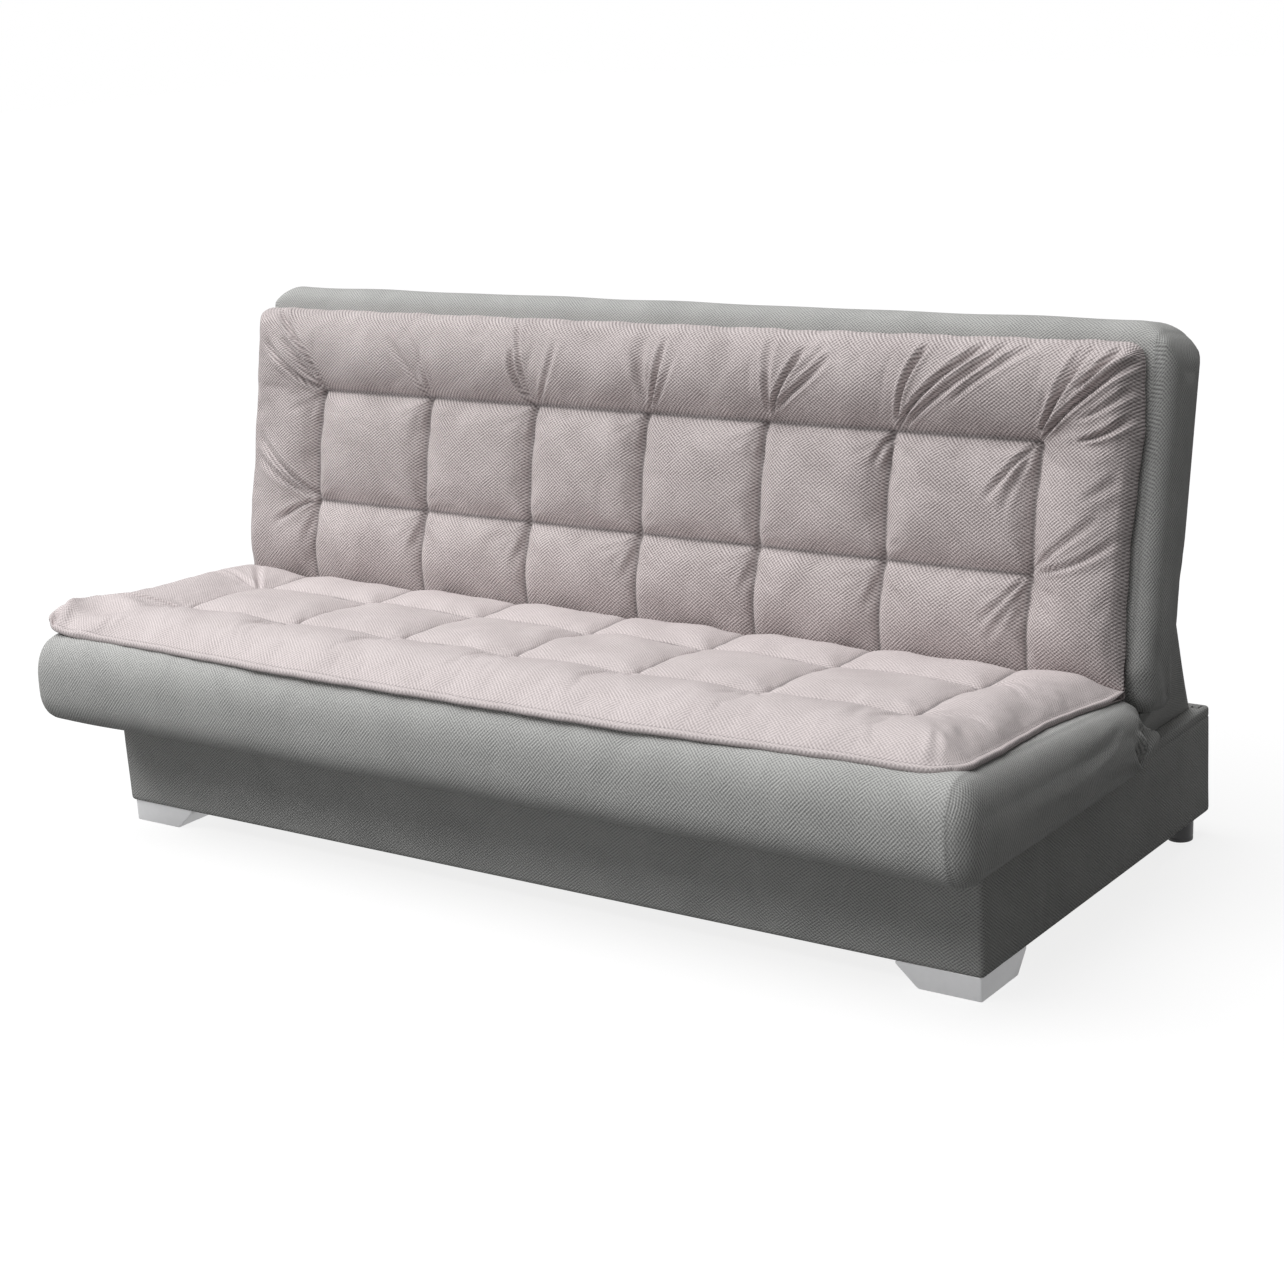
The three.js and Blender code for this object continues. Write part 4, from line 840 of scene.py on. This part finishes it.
def seat_relief(points, normals):
    """The cloth is uneven by under 1 mm, the seams are drawn in a little, folds gather at the ends'
    lower rear corners, the left end's upper front corner is worn down by up to 9 mm, and the
    underside is let in by 3 mm where the lining lies."""
    x, y, z = points.T
    move = ripples(points, 11, 0.19, 0.0010) - end_seam(points, normals)
    worn = ramp(-x, 0.87, 0.08) * ramp(-y, 0.34, 0.08)
    move -= 0.009 * worn * np.clip(normals[:, 2] + 0.15, 0, 1)
    side = np.abs(normals[:, 0]) > 0.5
    move[side] += fold_field(y[side], z[side], seat_end_folds)
    margin = 0.004
    under = (normals[:, 2] < -0.9) & (z < seat_floor + margin)
    inside = (np.abs(x) < lining_high[0] + margin) & (y > lining_low[1] - margin)
    inside &= y < lining_high[1] + margin
    move[under] = np.where(inside[under], -0.0032, -0.0002)
    return np.minimum(move, np.where(side & (y > 0.03), 0.010, 0.0012))


along_normals(seat_body, seat_relief)
mark_seams(seat_body)
# The arms of the seat and of the back leave its cloth through slots at each end.
slot_spans = [(0.8426, 0.8756), (-0.8756, -0.8426)]
slot_rear, slot_low = 0.25, 0.15
for slot_front, slot_high in ((0.0597, 0.344), (0.0917, 0.50)):
    cut_slots(
        seat_body,
        [((a, slot_front, slot_low), (b, slot_rear, slot_high)) for a, b in slot_spans],
    )
hand_over(seat_body, "seat", "seat_body")

# Pleats: at the seat's lower rear corners the spare cloth of the end is tucked into a small flat
# fold and stapled. It stands out behind the end, and rides with the seat.
for side, hand in ((1, "right"), (-1, "left")):
    # t runs out from the seat's end to the fold, s down it: the fold stands off by a half sine wave.
    s, t = np.meshgrid(np.linspace(0, 1, 33), np.linspace(0, 1, 15), indexing="ij")
    stand_off = 0.008 + 0.052 * np.sin(np.pi * s**0.9) ** 0.8
    pleat_x = 0.9465 + 0.003 * t + 0.004 * np.sin(np.pi * t) * np.sin(np.pi * s)
    pleat_x += 0.0016 * np.sin(9 * s + 5 * t) * np.sin(np.pi * t)
    pleat_y = 0.099 - 0.012 * s**2 + stand_off * t
    pleat_z = 0.314 - 0.074 * s - 0.014 * t * (1 - s)
    pleat_grid = np.stack([side * pleat_x, pleat_y, pleat_z], -1)
    pleat = woven_mesh("end_pleat_" + hand, pleat_grid, pleat_grid[..., [2, 1]], grey_cloth)
    thicken(pleat, 0.0032)
    hand_over(pleat, "seat", "seat_body")
    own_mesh(pleat)

# Lining under the seat: black spun cloth stapled to the frame all round, slightly slack between
# the staples.
spun_look = {
    "Cell": 0.003, "Tint": (0.085, 0.085, 0.088, 1), "Shade": (0.05, 0.05, 0.052, 1), "Nap": 0.2
}
spun = finish("spun_cloth", 0.9, (0.3, 0.0003), [(weave, spun_look)], stretch=None)
lining_x, lining_y = np.meshgrid(
    np.linspace(lining_low[0], lining_high[0], 190),
    np.linspace(lining_low[1], lining_high[1], 60),
    indexing="ij",
)
edge = np.minimum(lining_y - lining_low[1], lining_high[1] - lining_y)
edge = np.minimum(lining_high[0] - np.abs(lining_x), edge)
# Slack grows from the edge inwards, and small waves run in from the staples every 60 mm.
slack = ramp(edge, 0, 0.2) ** 0.7
staples = np.cos(lining_x * 2 * np.pi / 0.06) * np.exp(-edge / 0.03) * ramp(edge, 0, 0.006)
lining_flat = grid_of(lining_x, lining_y, 0)
lining_grid = lining_flat.copy()
lining_grid[..., 2] = seat_floor + 0.0027 - 0.0014 * slack + 0.0003 * staples
lining_grid[..., 2] += ripples(lining_flat, 5, 0.2, 0.0004) * slack
seat_lining = woven_mesh("seat_lining_cloth", lining_grid, lining_flat[..., :2], spun)
thicken(seat_lining, 0.0008)
hand_over(seat_lining, "seat", "seat_lining")

# Seat pad: a loose quilted pad of the pink cloth, stitched through its filling along two rows and
# along columns that run back from the front row. Its free edge is a narrow topstitched hem.
rose = (0.70, 0.635, 0.633, 1), (0.40, 0.352, 0.35, 1)
# The seat pad's cloth gets painted shade along its stitched lines, sewn edges and topstitch pits.
rose_cloth = cloth_finish(
    "rose_cloth", 0.0064, *rose, 0.12, 0.0008, 0.15, painted_seam_shade=0.62, topstitch=0.6
)
tuft_columns = np.array([-0.757, -0.490, -0.245, 0.0, 0.245, 0.490, 0.757])


def stations(marks, pitch, bunch=0.25):
    """Places along a line that hit every mark; pitch is one step, or one for each span. Between two
    marks, the share t of the way becomes t - bunch sin(2 pi t) / (2 pi), so that the places crowd
    towards the marks."""
    places = [np.array(marks[:1])]
    for a, b, step in zip(marks[:-1], marks[1:], np.broadcast_to(pitch, len(marks) - 1)):
        t = np.linspace(0, 1, max(1, round((b - a) / step)) + 1)[1:]
        places.append(a + (b - a) * (t - bunch * np.sin(2 * np.pi * t) / (2 * np.pi)))
    return np.concatenate(places)


def hollow(distance, reach):
    """sin(pi d / 2 reach), and 1 beyond the reach."""
    return np.sin(ramp(distance, 0, reach) * np.pi / 2)


def pad_heights(x, p, pad):
    """Upper and lower face of a quilted pad at x along it and p from its crease edge, and the
    distances from the nearest stitched line and free edge. At distance d from a line the filling
    rises by crown times (0.6 (1 - exp(-d / 7 mm)) + 0.4 sin(pi d / 2 reach)); a line arches by 6 mm
    between its crossings, and the strip beyond the last row stands higher by a half wave of the
    pad's roll. The face falls to the hem at the free edges and to the heel at the crease."""
    last = pad["rows"][-1]
    to_column = np.min([np.hypot(x - c, np.maximum(0, p - last)) for c in tuft_columns], 0)
    outside = np.maximum(0, np.abs(x) - tuft_columns[-1])
    to_row = np.min([np.hypot(p - row, outside) for row in pad["rows"]], 0)
    to_node = np.min([np.hypot(x - c, p - row) for c in tuft_columns for row in pad["rows"]], 0)
    stitched = np.minimum(to_column, to_row)
    crown = 0.6 * (1 - np.exp(-stitched / 0.007)) + 0.4 * hollow(stitched, pad["reach"])
    puff = pad["seam"] + 0.006 * hollow(to_node, 0.105) ** 2 + pad["crown"] * crown
    puff -= 0.004 * hump(to_node, 0.013)
    puff += pad["roll"] * np.sin(np.pi * ramp(p, last, pad["depth"] - last))
    edge = np.minimum(np.minimum(x - pad["left"], pad["right"] - x), pad["depth"] - p)
    rim = arc(edge, pad["rim"])
    hem = pad["edge"] * (0.5 + 0.5 * rim) - pad["groove"] * hump(edge - 0.011, 0.0024)
    upper = hem + (puff - pad["edge"]) * hollow(edge - pad["rise_from"], pad["rise"]) ** 0.9
    crease = hollow(p, pad["crease"])
    heel = pad["heel"] / 2
    crease_rim = arc(p, heel)
    upper = heel * (1 + crease_rim) * (1 - crease) + upper * crease
    lower = pad["edge"] * 0.5 * (1 - rim) * crease + heel * (1 - crease_rim) * (1 - crease)
    return upper, lower, stitched, edge


def blow_up(piece, held, pressure, cap):
    """Let Blender's cloth solver fill a piece with air: held points stay, the others move for twenty
    frames without gravity, and no point ends further than cap from where it began."""
    frames = 20
    start = mesh_points(piece)
    group = piece.vertex_groups.new(name="held")
    group.add(np.flatnonzero(held).tolist(), 1.0, "REPLACE")
    cloth = piece.modifiers.new("filling", "CLOTH")
    cloth.settings.effector_weights.gravity = 0
    for name, value in {
        "quality": 4, "mass": 0.3, "use_pressure": True, "uniform_pressure_force": pressure,
        "tension_stiffness": 12, "compression_stiffness": 6, "shear_stiffness": 4,
        "bending_stiffness": 0.3, "shrink_min": -0.006, "vertex_group_mass": "held",
        "pin_stiffness": 1.0,
    }.items():
        setattr(cloth.settings, name, value)
    cloth.collision_settings.use_collision = False
    cloth.point_cache.frame_start, cloth.point_cache.frame_end = 1, frames
    for step in range(frames):
        scene.frame_set(step + 1)
    shift = mesh_points(piece.evaluated_get(bpy.context.evaluated_depsgraph_get())) - start
    piece.modifiers.clear()
    piece.vertex_groups.clear()
    scene.frame_set(1)
    far = np.linalg.norm(shift, axis=1, keepdims=True)
    move_points(piece, start + shift * np.minimum(1, cap / np.maximum(far, 1e-9)))


def marked(piece, label):
    """Read the numbers stored at a piece's points."""
    values = np.empty(len(piece.data.vertices), np.float32)
    piece.data.attributes[label].data.foreach_get("value", values)
    return values.astype(float)


def pad_outline(gx, gp, pad):
    """Where the grid of a pad lies in plan. Towards a free corner its outline follows an arc. The
    waist draws its ends in near the first row and the shoulder at the last corner, its trim shortens
    it at places along it, and slow sine waves gather the edges."""
    hand = np.sign(gx)
    side_gap = np.minimum(gx - pad["left"], pad["right"] - gx)
    front_gap = pad["depth"] - gp
    corner = np.where(gx < 0, *pad["corner"])
    ex, ep = corner - side_gap, gp - (pad["depth"] - corner)
    pull = 1 - np.maximum(ex, ep) / np.maximum(np.hypot(ex, ep), 1e-9)
    pull = np.where((ex > 0) & (ep > 0), pull, 0)
    gather = pad["gather"] * (1 + 0.8 * np.sin(gp * 57 + 1) + 0.5 * np.sin(gp * 131 + 3 * gx))
    waist = np.where(gx < 0, *pad["waist"]) * hump(gp - 0.21, 0.16)
    waist += pad["shoulder"] * (gx > 0) * hump(gp - 0.53, 0.08)
    drawn = gather * np.exp(-side_gap / 0.03) + waist * np.exp(-side_gap / 0.06)
    gather = pad["gather"] * (1 + 0.8 * np.sin(gx * 41 + 2) + 0.5 * np.sin(gx * 97))
    px = gx - hand * (ex * pull + drawn * (1 - pull))
    pp = gp - ep * pull - gather * np.exp(-front_gap / 0.03) * (1 - pull)
    return px, pp - np.interp(gx, *pad["trim"]) * np.exp(-front_gap / 0.07)


def quilted_pad(name, pad, folds, look, seed, place):
    """A quilted pad, made flat in (x, p, height), filled by the cloth solver between its stitches,
    subdivided once, given its folds, and then set on the sofa by place(x, p, height)."""
    left, far, depth = pad["left"], pad["right"], pad["depth"]
    rim = np.array([0, 0.0012, 0.0032, 0.006, 0.009, 0.012, 0.016, 0.022])
    heel = np.array([0, 0.0015, 0.005, 0.014])
    x = stations([left + rim[-1], *tuft_columns, far - rim[-1]], pad["pitch"][0])
    x = np.concatenate([left + rim[:-1], x, (far - rim[:-1])[::-1]])
    p = stations([heel[-1], *pad["rows"], depth - rim[-1]], pad["pitch"][1])
    p = np.concatenate([heel[:-1], p, (depth - rim[:-1])[::-1]])
    gx, gp = np.meshgrid(x, p, indexing="ij")
    upper, lower, stitched, edge = pad_heights(gx, gp, pad)
    px, pp = pad_outline(gx, gp, pad)
    top = np.stack([px, pp, upper], -1)
    under = np.stack([px, pp, lower], -1)[:, -2:0:-1]
    uv = grid_of(x[:, None], np.append(p, 2 * depth - p[-2::-1])[None])
    piece = woven_mesh(name, np.concatenate([top, under], 1), uv, look, wrap=True)
    for label, above_it, below_it in (
        ("shaded_line_gap", stitched, stitched), ("edge_gap", edge, edge), ("upper_face", 0 * gx + 1, 0 * gx)
    ):
        mark(piece, label, np.concatenate([above_it, below_it[:, -2:0:-1]], 1))
    weld(piece, gap=1e-6)
    held = (marked(piece, "shaded_line_gap") < 0.0012) | (marked(piece, "edge_gap") < 0.0165)
    held |= (marked(piece, "upper_face") < 0.5) | (mesh_points(piece)[:, 1] < 0.03)
    blow_up(piece, held, 4.0, 0.024)
    smooth = piece.modifiers.new("smooth", "SUBSURF")
    smooth.levels = smooth.render_levels = 1
    settle(piece)
    gap, rim_gap = marked(piece, "shaded_line_gap"), marked(piece, "edge_gap")

    def relief(points, normals):
        """Folds on the upper face, a stitch line pulled in by 1.8 mm, and unevenness of under 2 mm
        that dies out at the stitches."""
        loose = ramp(gap, 0, 0.03) * ramp(rim_gap, 0, 0.03)
        soft = ripples(points, seed, 0.070, 0.0016) * loose
        stitch = -0.0018 * hump(gap, 0.0030) * ramp(rim_gap, 0, 0.02)
        creased = fold_field(points[:, 0], points[:, 1], folds) * ramp(rim_gap, 0, 0.008)
        facing = np.clip(normals[:, 2] * 3, 0, 1) * (marked(piece, "upper_face") > 0.5)
        return (soft + stitch + creased) * facing

    along_normals(piece, relief)
    x, p, height = mesh_points(piece).T
    # In a fold deeper than 9 mm the cloth lies on itself: painted shade as on a stitched line.
    for fold in folds[(folds[:, 7] > 0.009) & (folds[:, 6] < 0.02)]:
        near, aside, share = fold_reach(x, p, fold)
        aside = np.where(height[near] > 0.009, aside + 0.0020 + 0.0030 * share**2, 1.0)
        gap[near] = np.minimum(gap[near], aside)
    mark(piece, "shaded_line_gap", gap)
    move_points(piece, place(x, p, height))
    return piece


def fans(rows, columns=tuft_columns):
    """Folds that spread from the stitched crossings with a row, from rows of its p, two angles in
    degrees from the pad's length, a count, a length, a depth and a width. Each leaves the crossing
    turned by 0.45 towards the middle of the fan and then swings out. Every other one is shorter and
    shallower."""
    folds = []
    for p, first, last, count, length, depth, width in rows:
        for column in columns:
            node, middle = np.array([column, p]), np.radians((first + last) / 2)
            for k, angle in enumerate(np.radians(np.linspace(first, last, count))):
                size = (1.0, 0.74)[k % 2]
                leave = angle + 0.45 * (middle - angle)
                way = np.array([np.cos(leave), np.sin(leave)])
                end = node + length * size * np.array([np.cos(angle), np.sin(angle)])
                guide = node + 0.5 * length * size * way
                folds.append([*(node + 0.004 * way), *guide, *end, width, depth * size])
    return folds


seat_pad_cut = {
    "left": -0.956, "right": 0.930, "depth": 0.553, "rows": (0.151, 0.360), "seam": 0.024,
    "crown": 0.011, "reach": 0.080, "roll": 0.0, "edge": 0.010, "rim": 0.005, "groove": 0.0006,
    "rise_from": 0.011, "rise": 0.062, "crease": 0.050, "heel": 0.016, "corner": (0.062, 0.072),
    "waist": (0.0, 0.020), "shoulder": 0.0, "gather": 0.0010,
    "trim": ((-0.7, -0.35, 0.35, 0.75), (0.016, 0.001, 0.001, 0.021)),
    "pitch": ((0.0062, *[0.0090] * 6, 0.0066), (0.0115, 0.0110, 0.0072)),
}
pad_inset = 0.024
seat_pad_y = seat_high[1] - pad_inset
seat_pad_z = seat_floor + seat_rear_tall + pad_inset * np.tan(seat_tilt) + 0.0004


def on_seat(x, p, height):
    """Pad coordinates on the seat's slanting top: p runs forward from the crease. Past the body's
    rounding the edge droops by 9 mm. The front left corner curls up by 20 mm, and the strip behind
    it stands 8 mm higher than its filling makes it."""
    height = height - 0.009 * ramp(p, 0.475, 0.078) ** 1.6
    height = height + 0.020 * hump(np.hypot(x + 0.945, p - 0.475), 0.060)
    height = height + 0.008 * ramp(-x, 0.80, 0.10) * ramp(p, 0, 0.05) * ramp(-p, -0.42, 0.12)
    y = seat_pad_y - p * np.cos(seat_tilt) + height * np.sin(seat_tilt)
    z = seat_pad_z + p * np.sin(seat_tilt) + height * np.cos(seat_tilt)
    return np.stack([x, y, z], -1)


seat_folds = fold_table([
    (-757, 363, -845, 393, -912, 424, 75, 120), (-896, 416, -944, 448, -918, 545, 70, 110),
    (-790, 470, -850, 472, -905, 495, 300, 150), (-765, 158, -820, 105, -868, 55, 60, 60),
    (-772, 160, -830, 140, -890, 128, 60, 40), (858, 472, 872, 492, 884, 522, 70, 24),
    (840, 440, 868, 462, 885, 485, 120, 16), (757, 372, 750, 412, 760, 458, 90, 24),
    (762, 370, 800, 398, 838, 430, 90, 24), (868, 415, 892, 445, 895, 480, 120, 18),
    (700, 400, 712, 440, 715, 485, 100, 22),
])
seat_fans = fans([
    (0.360, 50, 130, 4, 0.100, 0.0026, 0.0062),
    (0.360, 200, 340, 5, 0.050, 0.0018, 0.0055),
    (0.151, 20, 160, 5, 0.055, 0.0018, 0.0055),
]) + fans([(0.151, -30, 30, 3, 0.120, 0.0026, 0.0055)], tuft_columns[-1:])
seat_folds = np.concatenate([seat_folds, seat_fans])
seat_pad = quilted_pad("quilted_seat_pad", seat_pad_cut, seat_folds, rose_cloth, 31, on_seat)
hand_over(seat_pad, "seat", "seat_pad")
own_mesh(seat_pad)

# Back body: a foam block like the seat's, leaning back, with large round corners at the top and a
# slanted toe that clears the seat. A seam runs round each end.
lean = np.radians(12.5)
back_hinge = np.array([0.124657, 0.326])
back_span = (-0.005, 0.600)
back_thick = (-0.0948, 0.0352)


def on_back(x, up, out):
    """Back coordinates to metres: up along the leaning back from the hinge, out of its front face."""
    y = back_hinge[0] + up * np.sin(lean) - out * np.cos(lean)
    z = back_hinge[1] + up * np.cos(lean) + out * np.sin(lean)
    return np.stack([x, y, z], -1)


def back_shape(x, across, up):
    """The section's across runs from the front face to the rear face, and its toe narrows by 29 mm
    at the bottom. Its left end sits 20 mm further in at the top."""
    toe = ramp(-up, -0.062, 0.067)
    out = -across - toe * 0.029 * ramp(-across, back_thick[0], 0.13)
    slack = 0.020 * ramp(-x, 0.78, 0.18) ** 2 * ramp(up, 0.30, 0.25)
    return on_back(x + slack, up, out)


back_body = firm_block(
    "upholstered_back",
    seat_half,
    (-back_thick[1], back_span[0]),
    (-back_thick[0], back_span[1]),
    [(0.030, 0.030, 2.2), (0.034, 0.036, 2.2), (0.046, 0.046, 2.1), (0.045, 0.045, 2.2)],
    (0.034, 0.046, 0.076, 0.030),
    (0.0085, 0.011, 0.009),
    back_shape,
)
panel_low, panel_high, panel_half = 0.0503, 0.5477, 0.8606
back_end_folds = fold_table([
    (-75, 20, -45, 90, -35, 200, 110, 40), (-80, 50, -60, 130, -60, 230, 100, 32),
    (-60, 10, -20, 50, 10, 120, 110, 30), (-85, 90, -78, 170, -70, 260, 90, 24),
])


def back_relief(points, normals):
    """Unevenness under 1 mm, seams round the ends, pulls near the lower rear corner, and a 3 mm deep
    field on the rear face for the rear panel."""
    y, z = points[:, 1] - back_hinge[0], points[:, 2] - back_hinge[1]
    up = y * np.sin(lean) + z * np.cos(lean)
    out = -y * np.cos(lean) + z * np.sin(lean)
    move = ripples(points, 17, 0.17, 0.0012) - end_seam(points, normals)
    side = np.abs(normals[:, 0]) > 0.6
    move[side] += fold_field(out[side], up[side], back_end_folds)
    margin = 0.004
    panel = (out < back_thick[0] + margin) & (np.abs(points[:, 0]) < panel_half)
    panel &= (up > panel_low - margin) & (up < panel_high + margin)
    move[panel] = -0.0032
    return np.minimum(move, 0.0012)


along_normals(back_body, back_relief)
mark_seams(back_body)
# The slots for its arms are cut while the back stands upright with its hinge at the origin.
turn_up = Matrix.Rotation(lean, 4, "X") @ Matrix.Translation((0, *-back_hinge))
back_body.data.transform(turn_up)
cut_slots(back_body, [((a, -0.2, -0.2), (b, 0.2, 0.050)) for a, b in slot_spans])
back_body.data.transform(turn_up.inverted())
hand_over(back_body, "back", "back_body")

# Rear panel: one flat piece of the grey cloth that closes the back's frame from behind, its edge
# turned in and stapled, so that a shallow line runs all round it.
panel_x, panel_up = np.meshgrid(
    np.linspace(-panel_half, panel_half, 180), np.linspace(panel_low, panel_high, 60), indexing="ij"
)
edge = np.minimum(panel_up - panel_low, panel_high - panel_up)
edge = np.minimum(panel_half - np.abs(panel_x), edge)
# Its face stands out by a quarter circle of 2 mm at the turned edge, and is uneven by half of one.
roll = arc(edge, 0.002)
panel_flat = grid_of(panel_x, panel_up, 0)
panel_out = back_thick[0] + 0.0022 - 0.0018 * roll + ripples(panel_flat, 23, 0.25, 0.0004) * roll
panel_grid = on_back(panel_x, panel_up, panel_out)
rear_panel = woven_mesh("rear_panel_cloth", panel_grid, panel_flat[..., :2], grey_cloth)
thicken(rear_panel, 0.001)
hand_over(rear_panel, "back", "back_rear_cover")

# Back pad: the seat pad's twin on the back's front face. Here the columns end at the upper row, and
# the cloth above it is pulled into folds that fan out from the stitches to the edge.
back_pad_cut = {
    "left": -0.933, "right": 0.926, "depth": 0.536, "rows": (0.165, 0.374), "seam": 0.018,
    "crown": 0.024, "reach": 0.075, "roll": 0.006, "edge": 0.022, "rim": 0.010, "groove": 0.0,
    "rise_from": 0.002, "rise": 0.034, "crease": 0.100, "heel": 0.008, "corner": (0.024, 0.032),
    "waist": (0.0, 0.010), "shoulder": 0.013, "gather": 0.0012,
    "trim": ((-0.85, 0.3, 0.85), (0.009, 0.005, 0.0)),
    "pitch": ((0.0068, *[0.0078] * 6, 0.0068), (0.0130, 0.0125, 0.0076)),
}


def on_back_face(x, p, height):
    """Pad coordinates on the back's front face: p runs up from the crease."""
    return on_back(x, 0.030 + p, back_thick[1] + 0.0004 + height)


# The back pad's copy of the rose cloth is painted darker overall than the seat pad's, as painted shade,
# with more contrast between dots and gaps; its stitched lines get painted shade.
rose = (0.74, 0.67, 0.667, 1), (0.22, 0.187, 0.185, 1)
rose_cloth_shaded_copy = cloth_finish("rose_cloth_back_painted_darker", 0.0068, *rose, 0.13, 0.0020, 0.15, painted_seam_shade=0.5)
back_folds = fold_table([
    (-750, 381, -760, 438, -878, 526, 42, 152), (-756, 379, -802, 425, -842, 470, 53, 110),
    (-764, 378, -823, 392, -883, 463, 53, 118), (-496, 376, -505, 404, -585, 486, 61, 65),
    (-491, 380, -466, 430, -555, 508, 53, 47), (-249, 375, -281, 404, -281, 473, 46, 105),
    (-251, 391, -257, 463, -288, 524, 42, 70), (-232, 383, -188, 429, -186, 491, 53, 47),
    (9, 383, 47, 437, 43, 509, 42, 88), (11, 396, -9, 431, 6, 513, 91, 53),
    (21, 388, 62, 421, 73, 485, 46, 35), (255, 390, 271, 451, 256, 510, 61, 58),
    (266, 391, 299, 454, 326, 499, 42, 100), (276, 398, 328, 433, 380, 488, 53, 76),
    (324, 459, 345, 474, 366, 506, 46, 29), (503, 392, 526, 471, 555, 516, 46, 117),
    (504, 382, 579, 465, 660, 522, 46, 117), (516, 384, 618, 456, 700, 526, 53, 88),
    (610, 426, 652, 469, 749, 526, 53, 53), (490, 365, 481, 356, 466, 316, 42, 53),
    (498, 359, 493, 347, 487, 318, 42, 35), (761, 392, 792, 441, 842, 526, 49, 134),
    (784, 446, 808, 486, 827, 526, 46, 70), (764, 381, 819, 435, 914, 508, 46, 152),
    (827, 459, 862, 491, 887, 524, 49, 93), (831, 411, 891, 437, 911, 467, 46, 58),
    (835, 379, 887, 391, 912, 422, 46, 93), (750, 371, 728, 342, 678, 277, 42, 82),
    (747, 360, 731, 322, 708, 256, 53, 41), (849, 290, 872, 300, 901, 326, 68, 35),
    (766, 177, 811, 212, 879, 265, 53, 58), (778, 172, 849, 182, 907, 235, 46, 70),
    (748, 161, 731, 131, 681, 81, 46, 53), (753, 149, 738, 109, 692, 53, 53, 35),
    (-762, 175, -790, 191, -899, 280, 53, 105), (-769, 170, -805, 187, -904, 243, 53, 82),
    (-764, 163, -788, 153, -844, 112, 42, 70),
])
back_fans = fans([
    (0.374, 215, 325, 5, 0.075, 0.0022, 0.0055),
    (0.165, 205, 335, 6, 0.090, 0.0024, 0.0055),
    (0.165, 35, 145, 4, 0.060, 0.0018, 0.0055),
])
back_folds = np.concatenate([back_folds, back_fans])
back_pad = quilted_pad(
    "quilted_back_pad", back_pad_cut, back_folds, rose_cloth_shaded_copy, 37, on_back_face
)
hand_over(back_pad, "back", "back_pad")

# Rear skirt: one piece of the grey cloth from round the back's lower rear edges down into the box.
# It closes the gap behind and beside the back.
skirt_top_up, skirt_top_x = 0.181, 0.925
skirt_stand = 0.0022
body_round = 0.045
heel_radius = body_round + skirt_stand
heel_turn = np.linspace(0, np.pi / 2, 9)
heel_up, heel_out = 0.040, back_thick[0] + body_round
rear_out = back_thick[0] - skirt_stand
side_up = [-0.005 - skirt_stand, *(heel_up - heel_radius * np.cos(heel_turn)), 0.10, 0.14]
side_up = np.append(side_up, skirt_top_up)
side_out = np.array([-0.0165, *(heel_out - heel_radius * np.sin(heel_turn)), *[rear_out] * 3])
side_share = travel(np.stack([side_up, side_out], 1))
side_share /= side_share[-1]
share = np.linspace(0, 1, 40)
side_up, side_out = np.interp(share, side_share, side_up), np.interp(share, side_share, side_out)
rim_front, rim_rear = np.array([0.8672, 0.1226, 0.2273]), np.array([0.8672, 0.4521, 0.2273])
cross = np.linspace(1, -1, 181)[1:-1, None]


def round_sofa(side):
    """A line down the sofa's right side, across behind it, and up its left side."""
    behind = side[-1] * np.hstack([cross, 0 * cross + 1, 0 * cross + 1])
    return np.concatenate([side, behind, side[::-1] * [-1, 1, 1]])


upper_line = round_sofa(on_back(np.full(40, skirt_top_x), side_up, side_out))
lower_line = round_sofa(rim_front + share[:, None] * (rim_rear - rim_front))
drop = np.linspace(0, 1, 34)[None]
skirt_grid = upper_line[:, None] * (1 - drop[..., None]) + lower_line[:, None] * drop[..., None]
# Between its two edges the cloth sags inwards by 16 mm, most half-way down and in the middle of the
# sofa, with five slow folds along it and small puckers below the upper edge.
inward = np.array([0, (rim_front[1] + rim_rear[1]) / 2, 0.227]) - skirt_grid
inward[..., 0] = 0
inward /= np.linalg.norm(inward, axis=-1, keepdims=True)
middle_share = 1 - np.abs(skirt_grid[..., 0] / skirt_top_x) ** 4
phase = np.linspace(0, np.pi, len(upper_line))[:, None]
sag = np.sin(drop * np.pi) * (0.016 + 0.005 * np.cos(10 * phase))
sag = (sag + 0.0016 * np.sin(160 * phase) * np.exp(-drop / 0.12)) * middle_share
skirt_grid += inward * sag[..., None]
hem = skirt_grid[:, -1:] + np.array([0, 0, -0.010])
skirt_grid = np.concatenate([skirt_grid, hem], 1)
skirt_u, skirt_v = travel(upper_line), travel(skirt_grid[110])
skirt_uv = grid_of(skirt_u[:, None], skirt_v[None])
rear_skirt = woven_mesh("rear_skirt_cloth", skirt_grid, skirt_uv, grey_cloth)
thicken(rear_skirt, 0.0014)
hand_over(rear_skirt, "base", "rear_skirt")
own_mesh(rear_skirt)
